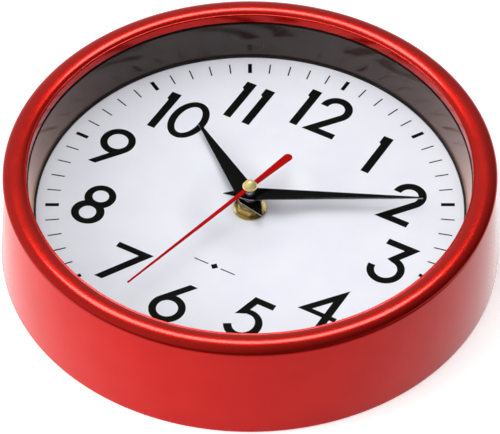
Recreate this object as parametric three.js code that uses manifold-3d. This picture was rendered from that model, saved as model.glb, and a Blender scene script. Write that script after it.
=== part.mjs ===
// Round quartz wall clock, millimetres.
// The clock lies on its back: +Z points out of the dial along the hand shaft, +Y points to 12 o'clock,
// and the origin is where the hand axis meets the plane of the back rim.
import * as THREE from 'three';
import { mergeVertices } from 'three/addons/utils/BufferGeometryUtils.js';
import Module from 'manifold-3d';

const wasm = await Module();
wasm.setup();

// ---------------------------------------------------------------- driving dimensions
const GAP = 0.3; // play left between pieces that touch
const SEAT_PLAY = 0.1; // play left between flat faces that press on each other
const PAST = 1; // how far a cutter reaches past what it cuts

// Case: a drum that widens towards the wall.
const CASE_BACK_RADIUS = 104.2;
const CASE_FRONT_RADIUS = 100.6;
const CASE_FRONT_Z = 42.0;
const CASE_WALL = 2.4;
const CASE_SHOULDER = 1.0;

// Bezel: a flat oval ring pressed onto the front of the case, with a straight lip down to the lens.
const BEZEL_MID_RADIUS = 96.3;
const BEZEL_MID_Z = 43.9;
const BEZEL_HALF_WIDTH = 5.0;
const BEZEL_HALF_HEIGHT = 2.3;
const BEZEL_UNDERSIDE_Z = CASE_FRONT_Z + GAP;
const BEZEL_LIP_Z = 41.2;
const BEZEL_SKIRT_THICKNESS = 1.8;
const BEZEL_SKIRT_Z = CASE_FRONT_Z - 5;

// Dial: a thin sheet whose middle is drawn down by the hub nut.
const DIAL_Z = 22.5;
const DIAL_RADIUS = 92.6;
const DIAL_THICKNESS = 1.0;
const DIAL_DISH_DEPTH = 2.3;
const DIAL_DISH_RADIUS = 32;
const DIAL_SEAT_RADIUS = 10.5;
const DIAL_VISIBLE_RADIUS = 89.6;

// Lens and the dark wall between it and the dial, with the gasket let into the top of the wall.
const LENS_RADIUS = 93.4;
const LENS_THICKNESS = 0.8;
const LENS_TOP_Z = BEZEL_LIP_Z - SEAT_PLAY;
const GASKET_THICKNESS = 0.5;
const GASKET_BORE = 92.0;
const GASKET_TOP_Z = LENS_TOP_Z - LENS_THICKNESS - SEAT_PLAY;
const INNER_WALL_TOP_RADIUS = 91.0;
const INNER_WALL_THICKNESS = 1.2;

// Movement: a square housing behind the dial.
const MOVEMENT_SIDE = 56;
const MOVEMENT_FRONT_Z = 18.0;
const MOVEMENT_BACK_Z = 2.2;
const MOVEMENT_WALL = 1.2;
const FRONT_PLATE_THICKNESS = 1.0;
const BAY_TOP_Y = -10.9;
const BAY_BOTTOM_Y = -26.4;
const BAY_WALL = 1.4;
const CELL_RADIUS = 7.25;
const CELL_LENGTH = 49.2;

// Chassis ring inside the case: it carries the dial, and its bosses take the rear cover's screws.
const CHASSIS_BORE = 86;
const CHASSIS_THICKNESS = 2.0;
const BOSS_RADIUS = 3.8;
const BOSS_SCREW_HOLE = 1.6;

// Rear cover and hanger.
const COVER_RADIUS = 100.4;
const COVER_BACK_Z = 0.8;
const COVER_THICKNESS = 2.0;
const COVER_SCREW_RADIUS = 94.5;
const COVER_SCREW_DEGREES = [45, 135, 225, 315];
const COVER_SCREW_CLEARANCE = 2.4;
const COVER_WINDOW_SIDE = MOVEMENT_SIDE + 2;
const COVER_WINDOW_CORNER = 4;
const NAIL_ROOM = { width: 16, height: 22, corner: 3 };
const HANGER_Y = 62;
const HANGER = { width: 34, height: 28, corner: 3, thickness: 1.6 };
const HANGER_SCREW_X = [-13, 13];
const HANGER_SCREW_CLEARANCE = 1.6;
const KEYHOLE = { entryRadius: 5, entryY: HANGER_Y - 4, slotWidth: 5, slotLength: 12, slotY: HANGER_Y + 2 };

// Hub stack above the movement.
const BUSHING_RADIUS = 4.0;
const BUSHING_BORE = 2.65;
const BUSHING_TOP_Z = 24.0;
const NUT_ACROSS_FLATS = 10;
const NUT_THICKNESS = 2.2;
const WASHER_RADIUS = 7.1;
const WASHER_THICKNESS = 0.5;
const HOUR_PIPE_RADIUS = 2.5;
const MINUTE_PIPE_RADIUS = 1.6;
const CENTRE_TUBE_RADIUS = 1.0;
const SECOND_ARBOR_RADIUS = 0.5;
const RUNNING_PLAY = 0.1;

// Hands, as lengths from the hand axis; each points to its own place on the dial.
const HAND_THICKNESS = 0.4;
const HOUR_HAND = { tip: 49.5, tail: 11.0, halfWidth: 4.7, tipHalf: 0.5, topZ: 26.4, degrees: 304.0 };
const MINUTE_HAND = { tip: 71.4, tail: 11.1, halfWidth: 3.6, tipHalf: 0.4, topZ: 29.1, degrees: 61.8 };
const SECOND_HAND = {
  tip: 72.6, tipHalf: 0.35, paddle: 23.3, paddleHalf: 1.9, neckHalf: 1.0, degrees: 192.5,
};
const SECOND_HAND_Z = 32.9;
const CAP_RADIUS = 3.1;
const CAP_HEIGHT = 2.9;

// Gear train: tooth counts, and the distance of each arbor from the one that it meshes with.
const ROTOR_PINION_TEETH = 8;
const INTERMEDIATE_TEETH = 40;
const INTERMEDIATE_PINION_TEETH = 8;
const SECOND_WHEEL_TEETH = 48;
const SECOND_PINION_TEETH = 8;
const THIRD_WHEEL_TEETH = 60;
const THIRD_PINION_TEETH = 8;
const CENTRE_WHEEL_TEETH = 64;
const CANNON_PINION_TEETH = 12;
const MINUTE_WHEEL_TEETH = 36;
const MINUTE_PINION_TEETH = 10;
const HOUR_WHEEL_TEETH = 40;
const KNOB_PINION_TEETH = 12;
const SECOND_MODULE = 0.32;
const THIRD_DISTANCE = 9.0;
const MINUTE_DISTANCE = 9.6;

// ---------------------------------------------------------------- materials
const finish = (color, roughness, metalness = 0) =>
  new THREE.MeshStandardMaterial({ color, roughness, metalness });

const redSatin = finish(0xbe2f26, 0.42);
const redGloss = finish(0x9e211b, 0.12);
const darkGloss = finish(0x2a2323, 0.1);
const clear = finish(0xf4f8fa, 0.05);
const rubber = finish(0x1c1c1c, 0.8);
const dialWhite = finish(0xe7e7ee, 0.55);
const blackPlastic = finish(0x17171a, 0.45);
const whitePlastic = finish(0xe4e2da, 0.4);
const brass = finish(0xc8a850, 0.28, 1);
const steel = finish(0xb8babd, 0.35, 1);
const copper = finish(0xa8562a, 0.4, 1);
const blackHand = finish(0x111110, 0.25);
const redHand = finish(0xb80d12, 0.35);
const boardGreen = finish(0x24603c, 0.5);
const magnetGrey = finish(0x4a4a4d, 0.5);
const cellSleeve = finish(0x2d4f7c, 0.35);

// ---------------------------------------------------------------- solids
const FULL_TURN = Math.PI * 2;
const CASE_SEGMENTS = 48;
const HUB_SEGMENTS = 24;
const BOSS_SEGMENTS = 16;
const HOLE_SEGMENTS = 12;
const CORNER_SEGMENTS = 3;

/** A three.js geometry as a manifold solid, with only shared positions left. */
function toSolid(geometry) {
  const bare = geometry.clone();
  bare.deleteAttribute('normal');
  bare.deleteAttribute('uv');
  const merged = mergeVertices(bare, 1e-4);
  const mesh = new wasm.Mesh({
    numProp: 3,
    vertProperties: new Float32Array(merged.attributes.position.array),
    triVerts: new Uint32Array(merged.index.array),
  });
  return new wasm.Manifold(mesh);
}

/** A manifold solid as a three.js geometry. */
function toGeometry(solid) {
  const mesh = solid.getMesh();
  const geometry = new THREE.BufferGeometry();
  geometry.setAttribute('position', new THREE.BufferAttribute(mesh.vertProperties, 3));
  geometry.setIndex(new THREE.BufferAttribute(mesh.triVerts, 1));
  geometry.computeVertexNormals();
  return geometry;
}

/** Joins the given geometries and cuts the others away. */
function build({ join, cut = [] }) {
  const whole = join.map(toSolid).reduce((sum, part) => sum.add(part));
  return toGeometry(cut.map(toSolid).reduce((rest, part) => rest.subtract(part), whole));
}

/** A ring or disc turned about Z from [radius, z] corners. */
function turned(corners, segments) {
  const closed = [...corners, corners[0]];
  const startsOnAxis = corners[0][0] === 0 && corners[corners.length - 1][0] === 0;
  const profile = (startsOnAxis ? corners : closed).map(([r, z]) => new THREE.Vector2(r, z));
  return new THREE.LatheGeometry(profile, segments).rotateX(Math.PI / 2);
}

/** A plain ring or, with no bore, a disc. */
function ring(outer, bore, z0, z1, segments) {
  const profile = [[bore, z0], [outer, z0], [outer, z1], [bore, z1]];
  return turned(profile, segments);
}

const disc = (radius, z0, z1, segments) => ring(radius, 0, z0, z1, segments);

/** A round cutter through whatever lies between two heights. */
function drill(radius, z0, z1, segments = HOLE_SEGMENTS) {
  return disc(radius, z0 - PAST, z1 + PAST, segments);
}

/** A box given by its middle in plan and its lowest and highest z. */
function slab(width, height, z0, z1, x = 0, y = 0) {
  return new THREE.BoxGeometry(width, height, z1 - z0).translate(x, y, (z0 + z1) / 2);
}

function extruded(shape, z0, z1, curveSegments = CORNER_SEGMENTS) {
  const options = { depth: z1 - z0, bevelEnabled: false, curveSegments };
  return new THREE.ExtrudeGeometry(shape, options).translate(0, 0, z0);
}

function roundedRectangle(width, height, radius) {
  const [x, y] = [width / 2, height / 2];
  const shape = new THREE.Shape();
  shape.absarc(x - radius, y - radius, radius, 0, Math.PI / 2);
  shape.absarc(radius - x, y - radius, radius, Math.PI / 2, Math.PI);
  shape.absarc(radius - x, radius - y, radius, Math.PI, Math.PI * 1.5);
  shape.absarc(x - radius, radius - y, radius, Math.PI * 1.5, FULL_TURN);
  return shape;
}

/** A point at a distance and an angle in degrees from another. */
function polar(distance, degrees, [x, y] = [0, 0]) {
  const angle = THREE.MathUtils.degToRad(degrees);
  return [x + distance * Math.cos(angle), y + distance * Math.sin(angle)];
}

// ---------------------------------------------------------------- case, bezel, lens
const CHASSIS_TOP_Z = DIAL_Z - DIAL_THICKNESS - GAP;
const CHASSIS_Z = CHASSIS_TOP_Z - CHASSIS_THICKNESS;
const SHOULDER_Z = CHASSIS_Z - GAP;

/** Radius of the case's outer face at a height. */
const caseRadius = (z) =>
  CASE_BACK_RADIUS + (CASE_FRONT_RADIUS - CASE_BACK_RADIUS) * (z / CASE_FRONT_Z);
const caseInside = (z) => caseRadius(z) - CASE_WALL;

/** One leaning wall, thicker at the back, so that a shoulder inside carries the chassis ring. */
function caseShell() {
  const edge = 0.6;
  return turned([
    [caseInside(0) - CASE_SHOULDER, 0],
    [CASE_BACK_RADIUS - edge, 0],
    [CASE_BACK_RADIUS, edge],
    [caseRadius(CASE_FRONT_Z - edge), CASE_FRONT_Z - edge],
    [CASE_FRONT_RADIUS - edge, CASE_FRONT_Z],
    [caseInside(CASE_FRONT_Z), CASE_FRONT_Z],
    [caseInside(SHOULDER_Z), SHOULDER_Z],
    [caseInside(SHOULDER_Z) - CASE_SHOULDER, SHOULDER_Z],
  ], CASE_SEGMENTS);
}

/** Flat ring on the case's shoulder, with a hollow boss behind it for each cover screw. */
function chassisRing() {
  const outer = caseInside(CHASSIS_TOP_Z) - GAP;
  const bossBack = COVER_BACK_Z + COVER_THICKNESS + GAP;
  const atScrews = (geometry) => COVER_SCREW_DEGREES.map((degrees) =>
    geometry.clone().translate(...polar(COVER_SCREW_RADIUS, degrees), 0));
  return build({
    join: [
      ring(outer, CHASSIS_BORE, CHASSIS_Z, CHASSIS_TOP_Z, CASE_SEGMENTS),
      ...atScrews(disc(BOSS_RADIUS, bossBack, CHASSIS_TOP_Z, BOSS_SEGMENTS)),
    ],
    cut: atScrews(disc(BOSS_SCREW_HOLE, bossBack - PAST, CHASSIS_Z, HOLE_SEGMENTS)),
  });
}

/** Oval head with a lip down to the lens, and a skirt that plugs into the case. */
function frontBezel() {
  const steps = 6;
  const skirtOuter = caseInside(CASE_FRONT_Z) - GAP;
  const skirtInner = skirtOuter - BEZEL_SKIRT_THICKNESS;
  const dip = Math.asin((BEZEL_MID_Z - BEZEL_UNDERSIDE_Z) / BEZEL_HALF_HEIGHT);
  const angles = [-dip, -dip / 2];
  for (let i = 0; i <= steps; i += 1) angles.push((Math.PI * i) / steps);
  const head = angles.map((angle) => [
    BEZEL_MID_RADIUS + BEZEL_HALF_WIDTH * Math.cos(angle),
    BEZEL_MID_Z + BEZEL_HALF_HEIGHT * Math.sin(angle),
  ]);
  return turned([
    ...head,
    [BEZEL_MID_RADIUS - BEZEL_HALF_WIDTH, BEZEL_LIP_Z],
    [skirtInner, BEZEL_LIP_Z],
    [skirtInner, BEZEL_SKIRT_Z],
    [skirtOuter, BEZEL_SKIRT_Z],
    [skirtOuter, BEZEL_UNDERSIDE_Z],
  ], CASE_SEGMENTS);
}

const lens = () => disc(LENS_RADIUS, LENS_TOP_Z - LENS_THICKNESS, LENS_TOP_Z, CASE_SEGMENTS);

const lensGasket = () =>
  ring(LENS_RADIUS, GASKET_BORE, GASKET_TOP_Z - GASKET_THICKNESS, GASKET_TOP_Z, CASE_SEGMENTS);

/** Cone between dial and lens: its foot stands on the dial, and the gasket lies in its top. */
function innerRing() {
  const [footHeight, footInset, lipThickness] = [1.2, 0.6, 1.0];
  const foot = DIAL_Z + GAP;
  const footOuter = DIAL_RADIUS - footInset;
  const rebate = GASKET_TOP_Z - GASKET_THICKNESS - SEAT_PLAY;
  return turned([
    [DIAL_VISIBLE_RADIUS, foot],
    [footOuter, foot],
    [footOuter, foot + footHeight],
    [DIAL_VISIBLE_RADIUS + INNER_WALL_THICKNESS, foot + footHeight],
    [INNER_WALL_TOP_RADIUS + INNER_WALL_THICKNESS, rebate - lipThickness],
    [LENS_RADIUS, rebate - lipThickness],
    [LENS_RADIUS, rebate],
    [GASKET_BORE - GAP, rebate],
    [GASKET_BORE - GAP, GASKET_TOP_Z],
    [INNER_WALL_TOP_RADIUS, GASKET_TOP_Z],
  ], CASE_SEGMENTS);
}

// ---------------------------------------------------------------- dial and rear cover
const DIAL_HOLE_RADIUS = BUSHING_RADIUS + 0.2;

/** Height of the dial's face: a flat seat at the hub, a smooth rise around it, then flat. */
function dialFace(r) {
  const way = (r - DIAL_SEAT_RADIUS) / (DIAL_DISH_RADIUS - DIAL_SEAT_RADIUS);
  const along = THREE.MathUtils.clamp(way, 0, 1);
  return DIAL_Z - DIAL_DISH_DEPTH * (1 + Math.cos(Math.PI * along)) / 2;
}

function dialPlate() {
  const radii = [DIAL_HOLE_RADIUS, DIAL_SEAT_RADIUS, 18, 25, DIAL_DISH_RADIUS, DIAL_RADIUS];
  const back = radii.map((r) => [r, dialFace(r) - DIAL_THICKNESS]);
  const face = radii.map((r) => [r, dialFace(r)]);
  return turned([...back, ...face.reverse()], CASE_SEGMENTS);
}

/** Plate with a window for the movement, a hole behind the hanger and holes for its screws. */
function rearCover() {
  const [z0, z1] = [COVER_BACK_Z, COVER_BACK_Z + COVER_THICKNESS];
  const opening = (shape) => extruded(shape, z0 - PAST, z1 + PAST);
  const nailRoom = roundedRectangle(NAIL_ROOM.width, NAIL_ROOM.height, NAIL_ROOM.corner);
  return build({
    join: [disc(COVER_RADIUS, z0, z1, CASE_SEGMENTS)],
    cut: [
      opening(roundedRectangle(COVER_WINDOW_SIDE, COVER_WINDOW_SIDE, COVER_WINDOW_CORNER)),
      opening(nailRoom).translate(0, HANGER_Y, 0),
      ...COVER_SCREW_DEGREES.map((degrees) =>
        drill(COVER_SCREW_CLEARANCE, z0, z1).translate(...polar(COVER_SCREW_RADIUS, degrees), 0)),
      ...HANGER_SCREW_X.map((x) => drill(HANGER_SCREW_CLEARANCE, z0, z1).translate(x, HANGER_Y, 0)),
    ],
  });
}

/** Stamped plate with a keyhole: a nail head enters below and the shank slides up to a square seat. */
function hangerPlate() {
  const z0 = COVER_BACK_Z + COVER_THICKNESS + SEAT_PLAY;
  const z1 = z0 + HANGER.thickness;
  const outline = roundedRectangle(HANGER.width, HANGER.height, HANGER.corner);
  return build({
    join: [extruded(outline, z0, z1).translate(0, HANGER_Y, 0)],
    cut: [
      drill(KEYHOLE.entryRadius, z0, z1, HUB_SEGMENTS).translate(0, KEYHOLE.entryY, 0),
      slab(KEYHOLE.slotWidth, KEYHOLE.slotLength, z0 - PAST, z1 + PAST, 0, KEYHOLE.slotY),
      ...HANGER_SCREW_X.map((x) => drill(HANGER_SCREW_CLEARANCE, z0, z1).translate(x, HANGER_Y, 0)),
    ],
  });
}

/** Pan-head screw that points along +Z through the cover, with a cross recess in its head. */
function screw({ headRadius, shankRadius, reach }) {
  const headHeight = 0.6;
  const crownRadius = headRadius * 0.7;
  const slotWidth = headRadius * 0.28;
  const headZ = COVER_BACK_Z - headHeight - SEAT_PLAY;
  const middle = headZ + headHeight / 2;
  const under = headZ + headHeight;
  const tip = under + COVER_THICKNESS + reach;
  const body = turned([
    [0, headZ],
    [crownRadius, headZ],
    [headRadius, middle],
    [headRadius, under],
    [shankRadius, under],
    [shankRadius, tip],
    [0, tip],
  ], HOLE_SEGMENTS);
  const slot = (width, height) => slab(width, height, headZ - PAST, middle);
  return build({ join: [body], cut: [slot(headRadius, slotWidth), slot(slotWidth, headRadius)] });
}

const coverScrew = () => screw({ headRadius: 3.2, shankRadius: 1.3, reach: 6 });
const hangerScrew = () => screw({ headRadius: 2.6, shankRadius: 1.2, reach: 2.6 });

// ---------------------------------------------------------------- gears
/** Outline of a spur gear with straight-sided slim teeth, leaving side play in the mesh. */
function gearOutline(teeth, module, phase) {
  const [addendum, dedendum] = [0.85, 1.3];
  const [rootShare, tipShare] = [0.25, 0.1];
  const pitch = (teeth * module) / 2;
  const tip = pitch + module * addendum;
  const root = pitch - module * dedendum;
  const toothAngle = FULL_TURN / teeth;
  const points = [];
  for (let i = 0; i < teeth; i += 1) {
    const middle = phase + i * toothAngle;
    const corner = (radius, share) => {
      const angle = middle + toothAngle * share;
      return new THREE.Vector2(radius * Math.cos(angle), radius * Math.sin(angle));
    };
    points.push(
      corner(root, -rootShare), corner(tip, -tipShare), corner(tip, tipShare), corner(root, rootShare));
  }
  return points;
}

function gear(teeth, module, phase, z0, z1) {
  return extruded(new THREE.Shape(gearOutline(teeth, module, phase)), z0, z1);
}

/** Tooth phase of a gear at `there` that meshes with one of the given phase at `here`. */
function meshedPhase(here, hereTeeth, herePhase, there, thereTeeth) {
  const bearing = Math.atan2(there[1] - here[1], there[0] - here[0]);
  const offset = ((bearing - herePhase) * hereTeeth) / FULL_TURN;
  return bearing + Math.PI - ((0.5 - offset) * FULL_TURN) / thereTeeth;
}

// Heights of the gear layers inside the housing.
const LAYER = { second: 4.4, intermediate: 6.0, third: 7.7, centre: 9.6, minute: 11.6, hour: 13.8 };
const WHEEL_THICKNESS = 0.8;
const PINION_MARGIN = 0.3;
const ARBOR_RADIUS = 0.4;
const ARBOR_BACK_Z = MOVEMENT_BACK_Z + MOVEMENT_WALL + SEAT_PLAY;
const ARBOR_FRONT_Z = MOVEMENT_FRONT_Z - FRONT_PLATE_THICKNESS - GAP;

// Where the arbors stand around the hand axis.
const HAND_AXIS = [0, 0];
const INTERMEDIATE_DISTANCE = ((SECOND_WHEEL_TEETH + INTERMEDIATE_PINION_TEETH) * SECOND_MODULE) / 2;
const ROTOR_DISTANCE = ((INTERMEDIATE_TEETH + ROTOR_PINION_TEETH) * SECOND_MODULE) / 2;
const THIRD_AXIS = polar(THIRD_DISTANCE, 180);
const INTERMEDIATE_AXIS = polar(INTERMEDIATE_DISTANCE, 100);
const ROTOR_AXIS = polar(ROTOR_DISTANCE, 110, INTERMEDIATE_AXIS);
const MINUTE_AXIS = polar(MINUTE_DISTANCE, 30);
const KNOB_AXIS = polar(MINUTE_DISTANCE, 20, MINUTE_AXIS);

// Modules that make each pair's teeth meet at the distance between its arbors.
const moduleFor = (distance, teethA, teethB) => (2 * distance) / (teethA + teethB);
const THIRD_MODULE = moduleFor(THIRD_DISTANCE, SECOND_PINION_TEETH, THIRD_WHEEL_TEETH);
const CENTRE_MODULE = moduleFor(THIRD_DISTANCE, THIRD_PINION_TEETH, CENTRE_WHEEL_TEETH);
const MINUTE_MODULE = moduleFor(MINUTE_DISTANCE, CANNON_PINION_TEETH, MINUTE_WHEEL_TEETH);
const HOUR_MODULE = moduleFor(MINUTE_DISTANCE, MINUTE_PINION_TEETH, HOUR_WHEEL_TEETH);

const wheelAt = (teeth, module, phase, layer) =>
  gear(teeth, module, phase, layer, layer + WHEEL_THICKNESS);

const pinionAt = (teeth, module, phase, layer) =>
  gear(teeth, module, phase, layer - PINION_MARGIN, layer + WHEEL_THICKNESS + PINION_MARGIN);

/** Phases of every gear, walked along the two trains from the gears on the hand axis. */
function gearPhases() {
  const intermediatePinion = meshedPhase(
    HAND_AXIS, SECOND_WHEEL_TEETH, 0, INTERMEDIATE_AXIS, INTERMEDIATE_PINION_TEETH);
  const rotorPinion = meshedPhase(
    INTERMEDIATE_AXIS, INTERMEDIATE_TEETH, 0, ROTOR_AXIS, ROTOR_PINION_TEETH);
  const thirdWheel = meshedPhase(HAND_AXIS, SECOND_PINION_TEETH, 0, THIRD_AXIS, THIRD_WHEEL_TEETH);
  const thirdPinion = meshedPhase(HAND_AXIS, CENTRE_WHEEL_TEETH, 0, THIRD_AXIS, THIRD_PINION_TEETH);
  const minuteWheel = meshedPhase(HAND_AXIS, CANNON_PINION_TEETH, 0, MINUTE_AXIS, MINUTE_WHEEL_TEETH);
  const minutePinion = meshedPhase(HAND_AXIS, HOUR_WHEEL_TEETH, 0, MINUTE_AXIS, MINUTE_PINION_TEETH);
  const knobPinion = meshedPhase(
    MINUTE_AXIS, MINUTE_WHEEL_TEETH, minuteWheel, KNOB_AXIS, KNOB_PINION_TEETH);
  return {
    intermediatePinion, rotorPinion, thirdWheel, thirdPinion, minuteWheel, minutePinion, knobPinion,
  };
}

const PHASE = gearPhases();

const arbor = (radius, z0, z1) => disc(radius, z0, z1, HOLE_SEGMENTS);

/** Arbor of the second hand, from the back bearing to inside the cap, with its wheel and pinion. */
function secondWheel() {
  return build({
    join: [
      arbor(SECOND_ARBOR_RADIUS, ARBOR_BACK_Z, SECOND_HAND_Z - SEAT_PLAY),
      wheelAt(SECOND_WHEEL_TEETH, SECOND_MODULE, 0, LAYER.second),
      pinionAt(SECOND_PINION_TEETH, THIRD_MODULE, 0, LAYER.third),
    ],
  });
}

function intermediateWheel() {
  return build({
    join: [
      arbor(ARBOR_RADIUS, ARBOR_BACK_Z, ARBOR_FRONT_Z),
      wheelAt(INTERMEDIATE_TEETH, SECOND_MODULE, 0, LAYER.intermediate),
      pinionAt(INTERMEDIATE_PINION_TEETH, SECOND_MODULE, PHASE.intermediatePinion, LAYER.second),
    ],
  });
}

function thirdWheel() {
  return build({
    join: [
      arbor(ARBOR_RADIUS, ARBOR_BACK_Z, ARBOR_FRONT_Z),
      wheelAt(THIRD_WHEEL_TEETH, THIRD_MODULE, PHASE.thirdWheel, LAYER.third),
      pinionAt(THIRD_PINION_TEETH, CENTRE_MODULE, PHASE.thirdPinion, LAYER.centre),
    ],
  });
}

/** Wheel on a tube that turns on the second arbor and drives the cannon pinion by friction. */
function centreWheel() {
  const abovePinion = 1;
  const top = LAYER.minute + WHEEL_THICKNESS + abovePinion;
  return build({
    join: [
      wheelAt(CENTRE_WHEEL_TEETH, CENTRE_MODULE, 0, LAYER.centre),
      disc(CENTRE_TUBE_RADIUS, LAYER.centre, top, HUB_SEGMENTS),
    ],
    cut: [drill(SECOND_ARBOR_RADIUS + RUNNING_PLAY, LAYER.centre, top)],
  });
}

/** Pinion on the long pipe that carries the minute hand. */
function cannonPinion() {
  const foot = LAYER.minute - PINION_MARGIN;
  return build({
    join: [
      pinionAt(CANNON_PINION_TEETH, MINUTE_MODULE, 0, LAYER.minute),
      disc(MINUTE_PIPE_RADIUS, LAYER.minute, MINUTE_HAND.topZ, HUB_SEGMENTS),
    ],
    cut: [drill(CENTRE_TUBE_RADIUS + RUNNING_PLAY, foot, MINUTE_HAND.topZ, HUB_SEGMENTS)],
  });
}

function minuteWheel() {
  return build({
    join: [
      arbor(ARBOR_RADIUS, ARBOR_BACK_Z, ARBOR_FRONT_Z),
      wheelAt(MINUTE_WHEEL_TEETH, MINUTE_MODULE, PHASE.minuteWheel, LAYER.minute),
      pinionAt(MINUTE_PINION_TEETH, HOUR_MODULE, PHASE.minutePinion, LAYER.hour),
    ],
  });
}

/** Wheel on the outer pipe that carries the hour hand. */
function hourWheel() {
  return build({
    join: [
      wheelAt(HOUR_WHEEL_TEETH, HOUR_MODULE, 0, LAYER.hour),
      disc(HOUR_PIPE_RADIUS, LAYER.hour, HOUR_HAND.topZ, HUB_SEGMENTS),
    ],
    cut: [drill(MINUTE_PIPE_RADIUS + RUNNING_PLAY, LAYER.hour, HOUR_HAND.topZ, HUB_SEGMENTS)],
  });
}

/** Permanent magnet of the stepping motor on its arbor, with the driving pinion. */
function motorRotor() {
  const [magnetRadius, magnetHeight, abovePinion] = [2.6, 2.6, 0.9];
  const magnetZ = LAYER.intermediate + WHEEL_THICKNESS + abovePinion;
  return build({
    join: [
      arbor(ARBOR_RADIUS, ARBOR_BACK_Z, ARBOR_FRONT_Z),
      pinionAt(ROTOR_PINION_TEETH, SECOND_MODULE, PHASE.rotorPinion, LAYER.intermediate),
      disc(magnetRadius, magnetZ, magnetZ + magnetHeight, HUB_SEGMENTS),
    ],
  });
}

/** Thumb wheel outside the back of the housing, on the shaft that turns the minute wheel. */
function settingKnob() {
  const [rim, rimThickness, rimPlay, teeth] = [5.2, 1.2, 0.2, 20];
  const [shaftRadius, pivotRadius] = [1.5, 0.6];
  const rimTop = MOVEMENT_BACK_Z - rimPlay;
  const rimBottom = rimTop - rimThickness;
  const knurl = gearOutline(teeth, (2 * rim) / (teeth + 2), 0);
  return build({
    join: [
      extruded(new THREE.Shape(knurl), rimBottom, rimTop),
      disc(shaftRadius, rimBottom, LAYER.minute, HUB_SEGMENTS),
      arbor(pivotRadius, LAYER.minute, ARBOR_FRONT_Z),
      pinionAt(KNOB_PINION_TEETH, MINUTE_MODULE, PHASE.knobPinion, LAYER.minute),
    ],
  });
}

// ---------------------------------------------------------------- movement housing
const HOUSING_CORNER = 3;
const HOUSING_FRONT_Z = MOVEMENT_FRONT_Z - FRONT_PLATE_THICKNESS - SEAT_PLAY;
const GEAR_ROOM_FLOOR_Z = MOVEMENT_BACK_Z + MOVEMENT_WALL;
const KNOB_HOLE_RADIUS = 1.8;
const PIPE_HOLE_RADIUS = 3.2;
const BUSHING_FOOT_Z = MOVEMENT_FRONT_Z + SEAT_PLAY / 2;

/** Deep box: gears in front of a back wall, and a battery bay open to the back. */
function movementCase() {
  const inside = MOVEMENT_SIDE / 2 - MOVEMENT_WALL;
  const roomBottom = BAY_TOP_Y + BAY_WALL;
  const bayHeight = BAY_TOP_Y - BAY_BOTTOM_Y;
  const outline = roundedRectangle(MOVEMENT_SIDE, MOVEMENT_SIDE, HOUSING_CORNER);
  return build({
    join: [extruded(outline, MOVEMENT_BACK_Z, HOUSING_FRONT_Z)],
    cut: [
      slab(2 * inside, inside - roomBottom, GEAR_ROOM_FLOOR_Z, HOUSING_FRONT_Z + PAST,
        0, (inside + roomBottom) / 2),
      slab(2 * inside, bayHeight, MOVEMENT_BACK_Z - PAST, HOUSING_FRONT_Z + PAST,
        0, (BAY_TOP_Y + BAY_BOTTOM_Y) / 2),
      drill(KNOB_HOLE_RADIUS, MOVEMENT_BACK_Z, GEAR_ROOM_FLOOR_Z, HUB_SEGMENTS)
        .translate(...KNOB_AXIS, 0),
    ],
  });
}

/** Lid of the movement that faces the dial. */
function movementFrontPlate() {
  const z0 = MOVEMENT_FRONT_Z - FRONT_PLATE_THICKNESS;
  const outline = roundedRectangle(MOVEMENT_SIDE, MOVEMENT_SIDE, HOUSING_CORNER);
  return build({
    join: [extruded(outline, z0, MOVEMENT_FRONT_Z)],
    cut: [drill(PIPE_HOLE_RADIUS, z0, MOVEMENT_FRONT_Z, HUB_SEGMENTS)],
  });
}

/** Flanged tube on the front plate that the hub nut screws onto. */
function threadedBushing() {
  const [flangeRadius, flangeThickness, chamfer] = [6.5, 0.6, 0.4];
  const flangeTop = BUSHING_FOOT_Z + flangeThickness;
  return turned([
    [BUSHING_BORE, BUSHING_FOOT_Z],
    [flangeRadius, BUSHING_FOOT_Z],
    [flangeRadius, flangeTop],
    [BUSHING_RADIUS, flangeTop],
    [BUSHING_RADIUS, BUSHING_TOP_Z - chamfer],
    [BUSHING_RADIUS - chamfer, BUSHING_TOP_Z],
    [BUSHING_BORE, BUSHING_TOP_Z],
  ], HUB_SEGMENTS);
}

// ---------------------------------------------------------------- hub stack
const DIAL_CENTRE_FACE_Z = dialFace(0);
const WASHER_Z = DIAL_CENTRE_FACE_Z + 0.15;
const NUT_Z = WASHER_Z + WASHER_THICKNESS + SEAT_PLAY;

/** Cushion between the movement and the dial, around the bushing's flange. */
function rubberWasher() {
  const [outer, bore] = [10, 6.8];
  const front = DIAL_CENTRE_FACE_Z - DIAL_THICKNESS - SEAT_PLAY;
  return ring(outer, bore, BUSHING_FOOT_Z, front, HUB_SEGMENTS);
}

const dialWasher = () =>
  ring(WASHER_RADIUS, BUSHING_RADIUS + 0.15, WASHER_Z, WASHER_Z + WASHER_THICKNESS, HUB_SEGMENTS);

/** Hexagon with its upper corners chamfered by a cone, and one corner turned to 5 o'clock. */
function hexNut() {
  const corner = NUT_ACROSS_FLATS / Math.sqrt(3);
  const top = NUT_Z + NUT_THICKNESS;
  const [chamferInset, chamferDepth] = [0.6, 1];
  const hexagon = new THREE.Shape();
  for (let i = 0; i < 6; i += 1) {
    const [x, y] = polar(corner, 60 * i);
    if (i === 0) hexagon.moveTo(x, y);
    else hexagon.lineTo(x, y);
  }
  const chamfer = turned([
    [corner - chamferInset, top],
    [corner + PAST, top - chamferDepth],
    [corner + PAST, top + PAST],
    [corner - chamferInset, top + PAST],
  ], HUB_SEGMENTS);
  return build({
    join: [extruded(hexagon, NUT_Z, top)],
    cut: [drill(BUSHING_RADIUS + RUNNING_PLAY, NUT_Z, top, HUB_SEGMENTS), chamfer],
  });
}

// ---------------------------------------------------------------- hands
const HAND_CURVE_SEGMENTS = 12;
const HAND_HOLE_PLAY = 0.05;
const RIVET_PLAY = 0.05;

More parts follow.
